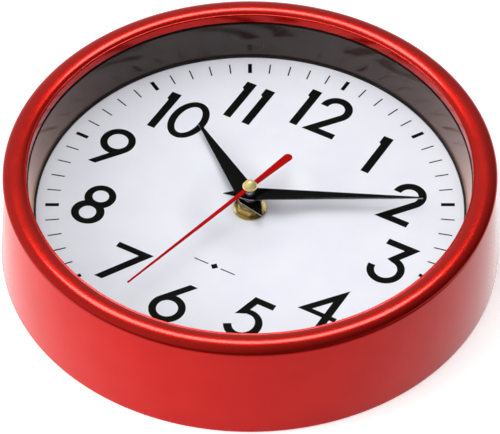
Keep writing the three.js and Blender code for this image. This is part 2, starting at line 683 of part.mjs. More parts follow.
/** Long kite that points to +Y, with a small round tip and a pointed tail. */
function kiteHand({ tip, tail, halfWidth, tipHalf, topZ }, holeRadius) {
  const shape = new THREE.Shape();
  shape.moveTo(0, -tail);
  shape.lineTo(halfWidth, 0);
  shape.lineTo(tipHalf, tip - tipHalf);
  shape.absarc(0, tip - tipHalf, tipHalf, 0, Math.PI);
  shape.lineTo(-halfWidth, 0);
  shape.closePath();
  const hole = new THREE.Path();
  hole.absarc(0, 0, holeRadius, 0, FULL_TURN);
  shape.holes.push(hole);
  return extruded(shape, topZ - HAND_THICKNESS, topZ, HAND_CURVE_SEGMENTS);
}

const hourHand = () => kiteHand(HOUR_HAND, HOUR_PIPE_RADIUS + HAND_HOLE_PLAY);
const minuteHand = () => kiteHand(MINUTE_HAND, MINUTE_PIPE_RADIUS + HAND_HOLE_PLAY);

/** Bright rivet that grips the hour pipe on top of the hour hand. */
function hourBoss() {
  const [radius, height, boreClearance] = [2.85, 0.7, 0.2];
  const z = HOUR_HAND.topZ + RIVET_PLAY;
  return ring(radius, MINUTE_PIPE_RADIUS + boreClearance, z, z + height, HUB_SEGMENTS);
}

/** Round nut that holds the minute hand on its pipe. */
function minuteNut() {
  const [radius, bore, height, chamfer] = [1.95, 0.8, 2.4, 0.4];
  const z = MINUTE_HAND.topZ + RIVET_PLAY;
  const top = z + height;
  return turned([
    [bore, z],
    [radius, z],
    [radius, top - chamfer],
    [radius - chamfer, top],
    [bore, top],
  ], HUB_SEGMENTS);
}

/** Needle that narrows to its tip, with a paddle for a counterweight. */
function secondHand() {
  const { tip, paddle, paddleHalf, neckHalf, tipHalf } = SECOND_HAND;
  const shape = new THREE.Shape();
  shape.absarc(0, -paddle, paddleHalf, Math.PI, FULL_TURN);
  shape.lineTo(neckHalf, 0);
  shape.lineTo(tipHalf, tip - tipHalf);
  shape.absarc(0, tip - tipHalf, tipHalf, 0, Math.PI);
  shape.lineTo(-neckHalf, 0);
  shape.closePath();
  return extruded(shape, SECOND_HAND_Z, SECOND_HAND_Z + HAND_THICKNESS, HAND_CURVE_SEGMENTS);
}

/** Domed cap over the second hand's hub. */
function secondHandCap() {
  const z = SECOND_HAND_Z + HAND_THICKNESS + RIVET_PLAY;
  const steps = 6;
  const dome = [[0, z]];
  for (let i = 0; i <= steps; i += 1) {
    const angle = (Math.PI / 2) * (i / steps);
    const r = i === steps ? 0 : CAP_RADIUS * Math.cos(angle);
    dome.push([r, z + CAP_HEIGHT * Math.sin(angle)]);
  }
  return turned(dome, HUB_SEGMENTS);
}

// ---------------------------------------------------------------- motor, circuit and battery
const STATOR_Z = 8.3;
const STATOR_THICKNESS = 1.0;
const STATOR_LEFT = -17.5;
const STATOR_RIGHT = 14.5;
const COIL_Y = 22.6;
const CORE_Z = STATOR_Z + STATOR_THICKNESS + SEAT_PLAY;
const CORE_THICKNESS = 1.2;
const CORE_WIDTH = 2.6;
const BOBBIN_LEFT = -12.5;
const BOBBIN_RIGHT = 9.5;

/** Soft-iron plate that wraps the rotor and reaches up to both ends of the coil core. */
function motorStator() {
  const top = STATOR_Z + STATOR_THICKNESS;
  const [earWidth, rotorHoleRadius] = [3.4, 3.1];
  const [bodyBottom, bodyTop, earTop] = [12.6, 19.2, 24.2];
  const outline = new THREE.Shape([
    new THREE.Vector2(STATOR_LEFT, bodyBottom),
    new THREE.Vector2(STATOR_RIGHT, bodyBottom),
    new THREE.Vector2(STATOR_RIGHT, earTop),
    new THREE.Vector2(STATOR_RIGHT - earWidth, earTop),
    new THREE.Vector2(STATOR_RIGHT - earWidth, bodyTop),
    new THREE.Vector2(STATOR_LEFT + earWidth, bodyTop),
    new THREE.Vector2(STATOR_LEFT + earWidth, earTop),
    new THREE.Vector2(STATOR_LEFT, earTop),
  ]);
  return build({
    join: [extruded(outline, STATOR_Z, top)],
    cut: [drill(rotorHoleRadius, STATOR_Z, top, HUB_SEGMENTS).translate(...ROTOR_AXIS, 0)],
  });
}

function coilCore() {
  const length = STATOR_RIGHT - STATOR_LEFT;
  const middle = (STATOR_LEFT + STATOR_RIGHT) / 2;
  return slab(length, CORE_WIDTH, CORE_Z, CORE_Z + CORE_THICKNESS, middle, COIL_Y);
}

/** Turns a shape made along Z so that it lies along X through the middle of the coil. */
function alongCoil(geometry) {
  return geometry.rotateY(Math.PI / 2).translate(0, COIL_Y, CORE_Z + CORE_THICKNESS / 2);
}

/** Spool with two flanges around the core. */
function coilBobbin() {
  const [tube, flange, edge] = [1.85, 3.1, 0.8];
  const spool = turned([
    [0, BOBBIN_LEFT],
    [flange, BOBBIN_LEFT],
    [flange, BOBBIN_LEFT + edge],
    [tube, BOBBIN_LEFT + edge],
    [tube, BOBBIN_RIGHT - edge],
    [flange, BOBBIN_RIGHT - edge],
    [flange, BOBBIN_RIGHT],
    [0, BOBBIN_RIGHT],
  ], HUB_SEGMENTS);
  const play = 0.15;
  const length = STATOR_RIGHT - STATOR_LEFT;
  const [slotBottom, slotTop] = [CORE_Z - play, CORE_Z + CORE_THICKNESS + play];
  return build({
    join: [alongCoil(spool)],
    cut: [slab(length, CORE_WIDTH + 2 * play, slotBottom, slotTop, 0, COIL_Y)],
  });
}

function coilWinding() {
  const [outer, inner, inset] = [2.8, 2.0, 1.1];
  return alongCoil(ring(outer, inner, BOBBIN_LEFT + inset, BOBBIN_RIGHT - inset, HUB_SEGMENTS));
}

const BOARD = { x: -22, y: 8.5, width: 7.0, height: 32, z: 6.0, thickness: 1.0 };

const circuitBoard = () =>
  slab(BOARD.width, BOARD.height, BOARD.z, BOARD.z + BOARD.thickness, BOARD.x, BOARD.y);

/** Blob of resin over the bare chip. */
function chipBlob() {
  const [y, play] = [2, 0.05];
  const z = BOARD.z + BOARD.thickness + play;
  const dome = [[0, z], [2.6, z], [2.3, z + 0.6], [1.4, z + 1.0], [0, z + 1.1]];
  return turned(dome, HOLE_SEGMENTS).translate(BOARD.x, y, 0);
}

/** Tuning-fork crystal in its can, lying on the board. */
function quartzCrystal() {
  const [radius, half, edge, y, play] = [1.0, 3, 0.2, 11, 0.1];
  const can = turned([
    [0, -half],
    [radius - edge, -half],
    [radius, edge - half],
    [radius, half - edge],
    [radius - edge, half],
    [0, half],
  ], HOLE_SEGMENTS);
  return can.rotateX(Math.PI / 2).translate(BOARD.x, y, BOARD.z + BOARD.thickness + radius + play);
}

const CELL_Y = (BAY_TOP_Y + BAY_BOTTOM_Y) / 2;
const CELL_INSET = 0.2;
const CELL_Z = MOVEMENT_BACK_Z + CELL_INSET + CELL_RADIUS;
const CELL_LEFT = -24.9;

/** Size AA cell along X, with its raised contact at the right-hand end. */
function batteryCell() {
  const [edge, buttonRadius, buttonHeight] = [0.5, 2.7, 1.3];
  const right = CELL_LEFT + CELL_LENGTH;
  const cell = turned([
    [0, CELL_LEFT],
    [CELL_RADIUS - edge, CELL_LEFT],
    [CELL_RADIUS, CELL_LEFT + edge],
    [CELL_RADIUS, right - edge],
    [CELL_RADIUS - edge, right],
    [buttonRadius, right],
    [buttonRadius, right + buttonHeight],
    [0, right + buttonHeight],
  ], HUB_SEGMENTS);
  return cell.rotateY(Math.PI / 2).translate(0, CELL_Y, CELL_Z);
}

const CONTACT_THICKNESS = 0.3;
const CONTACT_SIDE = 9;
const CONTACT_X = MOVEMENT_SIDE / 2 - MOVEMENT_WALL - GAP;

/** Flat strip at the end of the bay. */
function contactStrip(x) {
  const strip = new THREE.BoxGeometry(CONTACT_THICKNESS, CONTACT_SIDE, CONTACT_SIDE);
  return strip.translate(x, CELL_Y, CELL_Z);
}

const positiveContact = () => contactStrip(CONTACT_X - CONTACT_THICKNESS / 2);

/** Strip with a bowed spring leaf that presses on the flat end of the cell. */
function negativeContact() {
  const x = -CONTACT_X;
  const [half, thickness, bow, halfWidth, segments] = [3.6, 0.3, 2.2, 2, 8];
  const leaf = new THREE.Shape();
  leaf.moveTo(x, -half);
  leaf.quadraticCurveTo(x + bow, 0, x, half);
  leaf.lineTo(x, half - thickness);
  leaf.quadraticCurveTo(x + bow - 2 * thickness, 0, x, thickness - half);
  leaf.closePath();
  return build({
    join: [
      contactStrip(x),
      extruded(leaf, -halfWidth, halfWidth, segments).translate(0, CELL_Y, CELL_Z),
    ],
  });
}

// ---------------------------------------------------------------- assembly
const clock = new THREE.Group();

/** Adds one named piece, standing at [x, y] and turned clockwise by some degrees as seen from the front. */
function add(name, geometry, material, [x, y] = HAND_AXIS, clockwise = 0) {
  const mesh = new THREE.Mesh(geometry, material);
  mesh.name = name;
  mesh.position.set(x, y, 0);
  mesh.rotation.z = -THREE.MathUtils.degToRad(clockwise);
  clock.add(mesh);
}

add('case_shell', caseShell(), redSatin);
add('front_bezel', frontBezel(), redGloss);
add('lens', lens(), clear);
add('lens_gasket', lensGasket(), rubber);
add('inner_ring', innerRing(), darkGloss);
add('chassis_ring', chassisRing(), blackPlastic);
add('dial_plate', dialPlate(), dialWhite);
add('rear_cover', rearCover(), blackPlastic);
add('hanger_plate', hangerPlate(), steel);
COVER_SCREW_DEGREES.forEach((degrees, i) =>
  add(`cover_screw_${i + 1}`, coverScrew(), steel, polar(COVER_SCREW_RADIUS, degrees)));
HANGER_SCREW_X.forEach((x, i) =>
  add(`hanger_screw_${i + 1}`, hangerScrew(), steel, [x, HANGER_Y]));

add('movement_case', movementCase(), blackPlastic);
add('movement_front_plate', movementFrontPlate(), blackPlastic);
add('threaded_bushing', threadedBushing(), brass);
add('rubber_washer', rubberWasher(), rubber);
add('dial_washer', dialWasher(), brass);
add('hex_nut', hexNut(), brass);

add('motor_rotor', motorRotor(), magnetGrey, ROTOR_AXIS);
add('motor_stator', motorStator(), steel);
add('coil_core', coilCore(), steel);
add('coil_bobbin', coilBobbin(), whitePlastic);
add('coil_winding', coilWinding(), copper);
add('circuit_board', circuitBoard(), boardGreen);
add('chip_blob', chipBlob(), blackPlastic);
add('quartz_crystal', quartzCrystal(), steel);
add('battery_cell', batteryCell(), cellSleeve);
add('positive_contact', positiveContact(), steel);
add('negative_contact', negativeContact(), steel);

add('intermediate_wheel', intermediateWheel(), whitePlastic, INTERMEDIATE_AXIS);
add('second_wheel', secondWheel(), whitePlastic);
add('third_wheel', thirdWheel(), whitePlastic, THIRD_AXIS);
add('centre_wheel', centreWheel(), whitePlastic);
add('cannon_pinion', cannonPinion(), whitePlastic);
add('minute_wheel', minuteWheel(), whitePlastic, MINUTE_AXIS);
add('hour_wheel', hourWheel(), whitePlastic);
add('setting_knob', settingKnob(), whitePlastic, KNOB_AXIS);

add('hour_hand', hourHand(), blackHand, HAND_AXIS, HOUR_HAND.degrees);
add('hour_boss', hourBoss(), steel);
add('minute_hand', minuteHand(), blackHand, HAND_AXIS, MINUTE_HAND.degrees);
add('minute_nut', minuteNut(), steel);
add('second_hand', secondHand(), redHand, HAND_AXIS, SECOND_HAND.degrees);
add('second_hand_cap', secondHandCap(), brass);

export default clock;
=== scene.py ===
"""A round red wall clock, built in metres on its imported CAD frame.

The clock lies on its back: +Z leaves the dial along the hand shaft, and +Y points to 12 o'clock.
"""
import math

import bmesh
import bpy
from mathutils import Matrix, Vector


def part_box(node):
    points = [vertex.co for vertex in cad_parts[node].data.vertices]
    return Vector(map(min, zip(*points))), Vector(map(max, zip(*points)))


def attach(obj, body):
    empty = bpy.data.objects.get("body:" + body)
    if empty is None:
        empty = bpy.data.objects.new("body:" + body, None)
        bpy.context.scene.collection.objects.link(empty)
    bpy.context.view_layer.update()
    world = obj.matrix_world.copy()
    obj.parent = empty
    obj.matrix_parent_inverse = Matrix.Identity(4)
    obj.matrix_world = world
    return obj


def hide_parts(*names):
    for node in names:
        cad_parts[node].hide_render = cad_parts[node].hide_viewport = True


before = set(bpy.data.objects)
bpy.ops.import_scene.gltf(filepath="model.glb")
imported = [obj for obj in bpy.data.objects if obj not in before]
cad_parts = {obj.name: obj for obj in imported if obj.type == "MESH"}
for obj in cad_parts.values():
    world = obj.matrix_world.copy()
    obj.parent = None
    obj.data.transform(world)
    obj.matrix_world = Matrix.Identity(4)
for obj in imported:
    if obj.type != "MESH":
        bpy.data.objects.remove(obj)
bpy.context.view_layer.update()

MM = 0.001
LARGE_ROUND = 256
SMALL_ROUND = 96
SMOOTH_UP_TO = math.radians(35)

# How far a solid runs on past the heights where it is cut or cuts.
CUT_PAST = 1 * MM


# ---------------- measures taken from the frame
def outer_radius(node):
    low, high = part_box(node)
    return (high.x - low.x) / 2


def bottom(node):
    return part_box(node)[0].z


def top(node):
    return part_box(node)[1].z


def middle_of(node):
    low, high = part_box(node)
    return (low + high) / 2


def nodes_named(start):
    return [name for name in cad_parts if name.startswith(start)]


DIAL_TOP = top("dial_plate")
DIAL_THICKNESS = 1.0 * MM
DIAL_DISH_DEPTH = 2.3 * MM
DIAL_SEAT_RADIUS = 10.5 * MM
DIAL_DISH_RADIUS = 32 * MM
BUSHING_RADIUS = 4.0 * MM


# ---------------- meshes
def as_mesh(bm):
    """Mesh of a bmesh, with its faces outwards."""
    bmesh.ops.recalc_face_normals(bm, faces=bm.faces)
    mesh = bpy.data.meshes.new("mesh")
    bm.to_mesh(mesh)
    bm.free()
    return mesh


def turned(section, sides=LARGE_ROUND):
    """Ring or disc turned about Z from the (radius, height) points round its section.

    A point on Z becomes one vertex, where triangles meet.
    """
    bm = bmesh.new()
    rings = []
    for radius, height in section:
        count = 1 if radius == 0 else sides
        angles = [math.tau * k / count for k in range(count)]
        rings.append([
            bm.verts.new((radius * math.cos(angle), radius * math.sin(angle), height))
            for angle in angles
        ])
    for before, after in zip(rings, rings[1:] + rings[:1]):
        if len(before) == len(after) == 1:
            continue
        for this in range(sides):
            following = (this + 1) % sides
            corners = [
                before[this % len(before)],
                before[following % len(before)],
                after[following % len(after)],
                after[this % len(after)],
            ]
            bm.faces.new(dict.fromkeys(corners))
    return as_mesh(bm)


def filleted(corners, steps=5):
    """Section points from (radius, height, fillet) corners, with each corner rounded by its fillet."""
    points = []
    neighbours = zip(corners[-1:] + corners[:-1], corners, corners[1:] + corners[:1])
    for before, here, after in neighbours:
        corner = Vector(here[:2])
        fillet = here[2]
        if fillet == 0:
            points.append(tuple(corner))
            continue
        to_before = (Vector(before[:2]) - corner).normalized()
        to_after = (Vector(after[:2]) - corner).normalized()
        half_angle = to_before.angle(to_after) / 2
        reach = fillet / math.tan(half_angle)
        centre = corner + (to_before + to_after).normalized() * fillet / math.sin(half_angle)
        first = corner + to_before * reach - centre
        last = corner + to_after * reach - centre
        for i in range(steps + 1):
            spoke = first.lerp(last, i / steps).normalized() * fillet
            points.append(tuple(centre + spoke))
    return points


def prism(outline, low, high):
    """Straight solid over an outline of (x, y) points."""
    bm = bmesh.new()
    below = [bm.verts.new((x, y, low)) for x, y in outline]
    above = [bm.verts.new((x, y, high)) for x, y in outline]
    bm.faces.new(below)
    bm.faces.new(above)
    for i in range(len(outline)):
        bm.faces.new((below[i - 1], below[i], above[i], above[i - 1]))
    return as_mesh(bm)


def through(outlines, low, high):
    """Straight solids over outlines, which run on past both heights."""
    return [prism(outline, low - CUT_PAST, high + CUT_PAST) for outline in outlines]


def arc(centre, radii, start, end, steps=48):
    """Points on an ellipse about a centre, from one angle in degrees to another."""
    angles = [math.radians(start + (end - start) * i / steps) for i in range(steps + 1)]
    return [
        (centre[0] + radii[0] * math.cos(angle), centre[1] + radii[1] * math.sin(angle))
        for angle in angles
    ]


def oval(centre, radii):
    return arc(centre, radii, 0, 360)[:-1]


def circle(centre, radius):
    return oval(centre, (radius, radius))


def rectangle(left, right, near, far):
    return [(left, near), (right, near), (right, far), (left, far)]


def rounded_rectangle(width, height, corner, middle=(0, 0)):
    x, y = width / 2 - corner, height / 2 - corner
    outline = []
    quarters = [(1, 1), (-1, 1), (-1, -1), (1, -1)]
    for quarter, (side_x, side_y) in enumerate(quarters):
        centre = (middle[0] + side_x * x, middle[1] + side_y * y)
        outline += arc(centre, (corner, corner), 90 * quarter, 90 * quarter + 90, steps=8)
    return outline


def new_object(name, data):
    made = bpy.data.objects.new(name, data)
    bpy.context.scene.collection.objects.link(made)
    return made


def combined(joined, cut=(), within=()):
    """One closed mesh: the joined meshes, without the cut ones, and only inside the within ones."""
    base = new_object("base", joined[0])
    used = [base]
    steps = [(mesh, "UNION") for mesh in joined[1:]]
    steps += [(mesh, "DIFFERENCE") for mesh in cut]
    steps += [(mesh, "INTERSECT") for mesh in within]
    for mesh, operation in steps:
        modifier = base.modifiers.new("step", "BOOLEAN")
        modifier.operation = operation
        modifier.solver = "MANIFOLD"
        modifier.object = new_object("tool", mesh)
        used.append(modifier.object)
    depsgraph = bpy.context.evaluated_depsgraph_get()
    result = bpy.data.meshes.new_from_object(base.evaluated_get(depsgraph))
    for helper in used:
        bpy.data.objects.remove(helper)
    return result


# ---------------- materials
# Most of a noise lies between these two values.
NOISE_LOW = 0.3
NOISE_HIGH = 0.7
METAL_RELIEF = 0.004 * MM

# Far lower than real glass has, so that the gloss on the lens stays faint.
LENS_INDEX = 1.03


def srgb(red, green, blue):
    """Linear colour from screen values of 0 to 255."""
    def linear(value):
        value /= 255
        return value / 12.92 if value <= 0.04045 else ((value + 0.055) / 1.055) ** 2.4
    return (linear(red), linear(green), linear(blue), 1)


def new_material(name, **sockets):
    """Principled material, with its uniform values set on the shader's own sockets."""
    material = bpy.data.materials.new(name)
    material.use_nodes = True
    tree = material.node_tree
    tree.nodes.clear()
    output = tree.nodes.new("ShaderNodeOutputMaterial")
    shader = tree.nodes.new("ShaderNodeBsdfPrincipled")
    tree.links.new(shader.outputs["BSDF"], output.inputs["Surface"])
    for socket, value in sockets.items():
        shader.inputs[socket.replace("_", " ")].default_value = value
    return material, tree, shader


def own_coordinates(tree, stretch=(1, 1, 1)):
    """The piece's own coordinates in metres, stretched along each axis."""
    place = tree.nodes.new("ShaderNodeTexCoord")
    mapping = tree.nodes.new("ShaderNodeMapping")
    mapping.inputs["Scale"].default_value = stretch
    tree.links.new(place.outputs["Object"], mapping.inputs["Vector"])
    return mapping.outputs["Vector"]


def noise(tree, per_metre, stretch=(1, 1, 1)):
    texture = tree.nodes.new("ShaderNodeTexNoise")
    texture.inputs["Scale"].default_value = per_metre
    tree.links.new(own_coordinates(tree, stretch), texture.inputs["Vector"])
    return texture.outputs["Fac"]


def turning_marks(tree, per_metre):
    """Noise that changes only with the distance from Z, like the marks of a lathe tool."""
    flat = tree.nodes.new("ShaderNodeVectorMath")
    flat.operation = "LENGTH"
    tree.links.new(own_coordinates(tree, (1, 1, 0)), flat.inputs[0])
    texture = tree.nodes.new("ShaderNodeTexNoise")
    texture.noise_dimensions = "1D"
    texture.inputs["Scale"].default_value = per_metre
    tree.links.new(flat.outputs["Value"], texture.inputs["W"])
    return texture.outputs["Fac"]


def paint(tree, shader, value, stops):
    """Base colour from a value through (position, colour) stops."""
    ramp = tree.nodes.new("ShaderNodeValToRGB")
    elements = ramp.color_ramp.elements
    elements[0].position, elements[0].color = stops[0]
    elements[1].position, elements[1].color = stops[-1]
    for position, color in stops[1:-1]:
        elements.new(position).color = color
    tree.links.new(value, ramp.inputs["Fac"])
    tree.links.new(ramp.outputs["Color"], shader.inputs["Base Color"])


def vary_roughness(tree, shader, value, smooth, rough):
    """Roughness that goes from smooth to rough as the value, a noise, goes from low to high."""
    spread = tree.nodes.new("ShaderNodeMapRange")
    spread.inputs["From Min"].default_value = NOISE_LOW
    spread.inputs["From Max"].default_value = NOISE_HIGH
    spread.inputs["To Min"].default_value = smooth
    spread.inputs["To Max"].default_value = rough
    tree.links.new(value, spread.inputs["Value"])
    tree.links.new(spread.outputs["Result"], shader.inputs["Roughness"])


def emboss(tree, shader, value, depth):
    """Bump of a depth in metres."""
    bump = tree.nodes.new("ShaderNodeBump")
    bump.inputs["Distance"].default_value = depth
    tree.links.new(value, bump.inputs["Height"])
    tree.links.new(bump.outputs["Normal"], shader.inputs["Normal"])


def moulded(name, dark, light, smooth, rough, grain, depth, **sockets):
    """Plastic, rubber, paint or ink: a slow drift of tone, and a fine grain in gloss and relief."""
    material, tree, shader = new_material(name, **sockets)
    drift = noise(tree, per_metre=60)
    paint(tree, shader, drift, [(0.35, dark), (0.65, light)])
    fine = noise(tree, grain)
    vary_roughness(tree, shader, fine, smooth, rough)
    emboss(tree, shader, fine, depth)
    return material


def turned_metal(name, dark, light, smooth, rough, metallic):
    """Metal cut on a lathe about the hand axis."""
    material, tree, shader = new_material(name, Metallic=metallic)
    marks = turning_marks(tree, per_metre=9000)
    drift = noise(tree, per_metre=900)
    paint(tree, shader, drift, [(NOISE_LOW, dark), (NOISE_HIGH, light)])
    vary_roughness(tree, shader, marks, smooth, rough)
    emboss(tree, shader, marks, METAL_RELIEF)
    return material


def stamped_steel():
    """Rolled and stamped steel with its grain along X."""
    material, tree, shader = new_material("steel", Metallic=1)
    grain = noise(tree, per_metre=3000, stretch=(0.04, 1, 1))
    dark, light = srgb(172, 174, 178), srgb(206, 208, 212)
    paint(tree, shader, grain, [(NOISE_LOW, dark), (NOISE_HIGH, light)])
    vary_roughness(tree, shader, grain, smooth=0.25, rough=0.42)
    emboss(tree, shader, grain, METAL_RELIEF)
    return material


def clear_glass():
    """Pane with a faint soft gloss, which grows at grazing angles. It lets all other light through."""
    material, tree, shader = new_material("clear_glass", Metallic=1)
    paint(tree, shader, noise(tree, 40), [(0.4, srgb(247, 250, 250)), (0.6, srgb(255, 255, 255))])
    vary_roughness(tree, shader, noise(tree, 25), smooth=0.2, rough=0.24)
    gloss = tree.nodes.new("ShaderNodeFresnel")
    gloss.inputs["IOR"].default_value = LENS_INDEX
    tree.links.new(gloss.outputs["Fac"], shader.inputs["Alpha"])
    return material


def copper_wire():
    """Fine wire wound side by side round the coil's X axis, with painted shade darkening the grooves
    between the turns.
    """
    material, tree, shader = new_material("enamelled_copper", Metallic=0.8, Coat_Weight=0.5)
    wave = tree.nodes.new("ShaderNodeTexWave")
    wave.bands_direction = "X"
    wave.inputs["Scale"].default_value = 1000
    tree.links.new(own_coordinates(tree), wave.inputs["Vector"])
    # The colour follows the waves of the relief: dark in the grooves between turns, which is painted
    # shade.
    paint(tree, shader, wave.outputs["Fac"], [(0.1, srgb(120, 52, 22)), (0.9, srgb(196, 108, 58))])
    vary_roughness(tree, shader, noise(tree, 400), smooth=0.25, rough=0.4)
    emboss(tree, shader, wave.outputs["Fac"], 0.05 * MM)
    return material


def cell_sleeve():
    """Shrunk sleeve on the cell: a dark body and a coppery band at its raised contact."""
    material, tree, shader = new_material("cell_sleeve", Coat_Weight=0.4)
    low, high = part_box("battery_cell")
    axes = tree.nodes.new("ShaderNodeSeparateXYZ")
    tree.links.new(own_coordinates(tree), axes.inputs["Vector"])
    along = tree.nodes.new("ShaderNodeMapRange")
    along.inputs["From Min"].default_value = low.x
    along.inputs["From Max"].default_value = high.x
    tree.links.new(axes.outputs["X"], along.inputs["Value"])
    body, band = srgb(32, 44, 66), srgb(190, 134, 74)
    body_end, band_start = 0.7, 0.705
    stops = [(0, body), (body_end, body), (band_start, band), (1, band)]
    paint(tree, shader, along.outputs["Result"], stops)
    vary_roughness(tree, shader, noise(tree, 300), smooth=0.25, rough=0.4)
    return material


def circuit_green():
    """Solder mask over copper tracks."""
    material, tree, shader = new_material("board_green", Coat_Weight=0.3)
    tracks = tree.nodes.new("ShaderNodeTexBrick")
    tracks.inputs["Scale"].default_value = 300
    tracks.inputs["Mortar Size"].default_value = 0.06
    tracks.inputs["Color1"].default_value = (0, 0, 0, 1)
    tracks.inputs["Color2"].default_value = (0.25, 0.25, 0.25, 1)
    tracks.inputs["Mortar"].default_value = (1, 1, 1, 1)
    tree.links.new(own_coordinates(tree), tracks.inputs["Vector"])
    mask, copper = srgb(22, 78, 46), srgb(58, 128, 78)
    paint(tree, shader, tracks.outputs["Color"], [(0.2, mask), (0.8, copper)])
    vary_roughness(tree, shader, noise(tree, 500), smooth=0.3, rough=0.45)
    return material


# Each moulded or printed finish: two tones, a range of roughness, and a grain, as its number in a metre
# and its depth. Names with capitals are the shader's own sockets.
MOULDED = {
    "red_satin_plastic": dict(
        dark=srgb(197, 23, 18), light=srgb(202, 27, 21), smooth=0.14, rough=0.2,
        grain=900, depth=0.002 * MM, Specular_IOR_Level=0.75),
    "red_gloss_plastic": dict(
        dark=srgb(188, 20, 9), light=srgb(194, 23, 11), smooth=0.18, rough=0.21,
        grain=300, depth=0.001 * MM, Metallic=0.85, Specular_IOR_Level=0.1,
        Coat_Weight=0.35, Coat_Roughness=0.08),
    "black_rubber": dict(
        dark=srgb(16, 16, 16), light=srgb(28, 28, 28), smooth=0.7, rough=0.9,
        grain=1200, depth=0.02 * MM),
    "dark_gloss_plastic": dict(
        dark=srgb(22, 13, 11), light=srgb(30, 19, 16), smooth=0.1, rough=0.16,
        grain=300, depth=0.002 * MM, Specular_IOR_Level=0.52,
        Sheen_Weight=1, Sheen_Roughness=0.4, Sheen_Tint=srgb(255, 202, 186)),
    "dial_white": dict(
        dark=srgb(227, 229, 238), light=srgb(231, 233, 241), smooth=0.5, rough=0.6,
        grain=2500, depth=0.004 * MM),
    "dial_ink": dict(
        dark=srgb(3, 3, 2), light=srgb(8, 8, 6), smooth=0.6, rough=0.75,
        grain=1500, depth=0.003 * MM, Specular_IOR_Level=0.05),
    "black_plastic": dict(
        dark=srgb(25, 25, 27), light=srgb(29, 29, 31), smooth=0.45, rough=0.6,
        grain=2200, depth=0.02 * MM),
    "white_plastic": dict(
        dark=srgb(220, 216, 206), light=srgb(232, 229, 220), smooth=0.35, rough=0.5,
        grain=900, depth=0.01 * MM, Subsurface_Weight=0.1, Subsurface_Scale=1 * MM),
    "magnet_grey": dict(
        dark=srgb(62, 62, 66), light=srgb(82, 82, 86), smooth=0.4, rough=0.6,
        grain=2500, depth=0.02 * MM),
    "hand_black": dict(
        dark=srgb(4, 4, 3), light=srgb(8, 8, 7), smooth=0.12, rough=0.16,
        grain=1500, depth=0.0003 * MM, Specular_IOR_Level=0.06),
    "hand_red": dict(
        dark=srgb(168, 1, 4), light=srgb(176, 2, 6), smooth=0.4, rough=0.5,
        grain=1500, depth=0.0003 * MM, Specular_IOR_Level=0.02),
}

TURNED = {
    "brass": dict(
        dark=srgb(196, 178, 116), light=srgb(228, 212, 156), smooth=0.2, rough=0.34, metallic=1),
    "nut_brass": dict(
        dark=srgb(206, 178, 104), light=srgb(228, 204, 136), smooth=0.2, rough=0.3, metallic=0.6),
    "cap_brass": dict(
        dark=srgb(214, 199, 132), light=srgb(226, 211, 150), smooth=0.36, rough=0.44, metallic=0.35),
}

MATERIALS = {
    "clear_glass": clear_glass(),
    "steel": stamped_steel(),
    "enamelled_copper": copper_wire(),
    "cell_sleeve": cell_sleeve(),
    "board_green": circuit_green(),
}
for finish_name, values in MOULDED.items():
    MATERIALS[finish_name] = moulded(finish_name, **values)
for finish_name, values in TURNED.items():
    MATERIALS[finish_name] = turned_metal(finish_name, **values)


def refinish_frame():
    """Gives each CAD node that stays in view the finished material of its slot."""
    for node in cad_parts.values():
        for slot in node.material_slots:
            slot.material = MATERIALS[slot.material.name]


# ---------------- pieces
def add_piece(name, mesh, finish, replaced=(), body="clock_body"):
    """A finished piece that rides on a body, and stands for the CAD nodes it replaces."""
    piece = new_object(name, mesh)
    mesh.materials.clear()
    mesh.materials.append(MATERIALS[finish])
    mesh.polygons.foreach_set("use_smooth", [True] * len(mesh.polygons))
    mesh.set_sharp_from_angle(angle=SMOOTH_UP_TO)
    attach(piece, body)
    if replaced:
        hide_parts(*replaced)


def refinish_faces(mesh, finish, is_chosen):
    """Gives a second finish to the faces that a test picks."""
    mesh.materials.append(MATERIALS[finish])
    for face in mesh.polygons:
        if is_chosen(face):
            face.material_index = 1


CASE_TAPER = 3.6 * MM
CASE_WALL = 2.4 * MM
CASE_SHOULDER = 1.0 * MM
CASE_SHOULDER_DROP = 2.3 * MM


def add_case():
    """Leaning wall with softly rounded rims and a shoulder inside for the chassis ring."""
    back, front = bottom("case_shell"), top("case_shell")
    back_radius = outer_radius("case_shell")
    slope = CASE_TAPER / (front - back)

    def inside(height):
        return back_radius - slope * (height - back) - CASE_WALL

    shoulder = top("chassis_ring") - CASE_SHOULDER_DROP
    section = filleted([
        (inside(back) - CASE_SHOULDER, back, 0.4 * MM),
        (back_radius, back, 0.9 * MM),
        (back_radius - CASE_TAPER, front, 0.7 * MM),
        (inside(front), front, 0.2 * MM),
        (inside(shoulder), shoulder, 0),
        (inside(shoulder) - CASE_SHOULDER, shoulder, 0.2 * MM),
    ])
    add_piece("case", turned(section), "red_satin_plastic", ["case_shell"])


BEZEL_HALF_WIDTH = 5.0 * MM
BEZEL_HALF_HEIGHT = 2.3 * MM
BEZEL_CROWN_END = 145
BEZEL_BEAD = 0.5 * MM
BEZEL_BEAD_DROP = 0.45 * MM
BEZEL_SKIRT = 1.8 * MM
BEZEL_UNDERCUT = 1.7 * MM
BEZEL_CASE_GAP = 0.3 * MM
BEZEL_LENS_GAP = 0.1 * MM
BEZEL_LIP_CHAMFER = 0.15 * MM


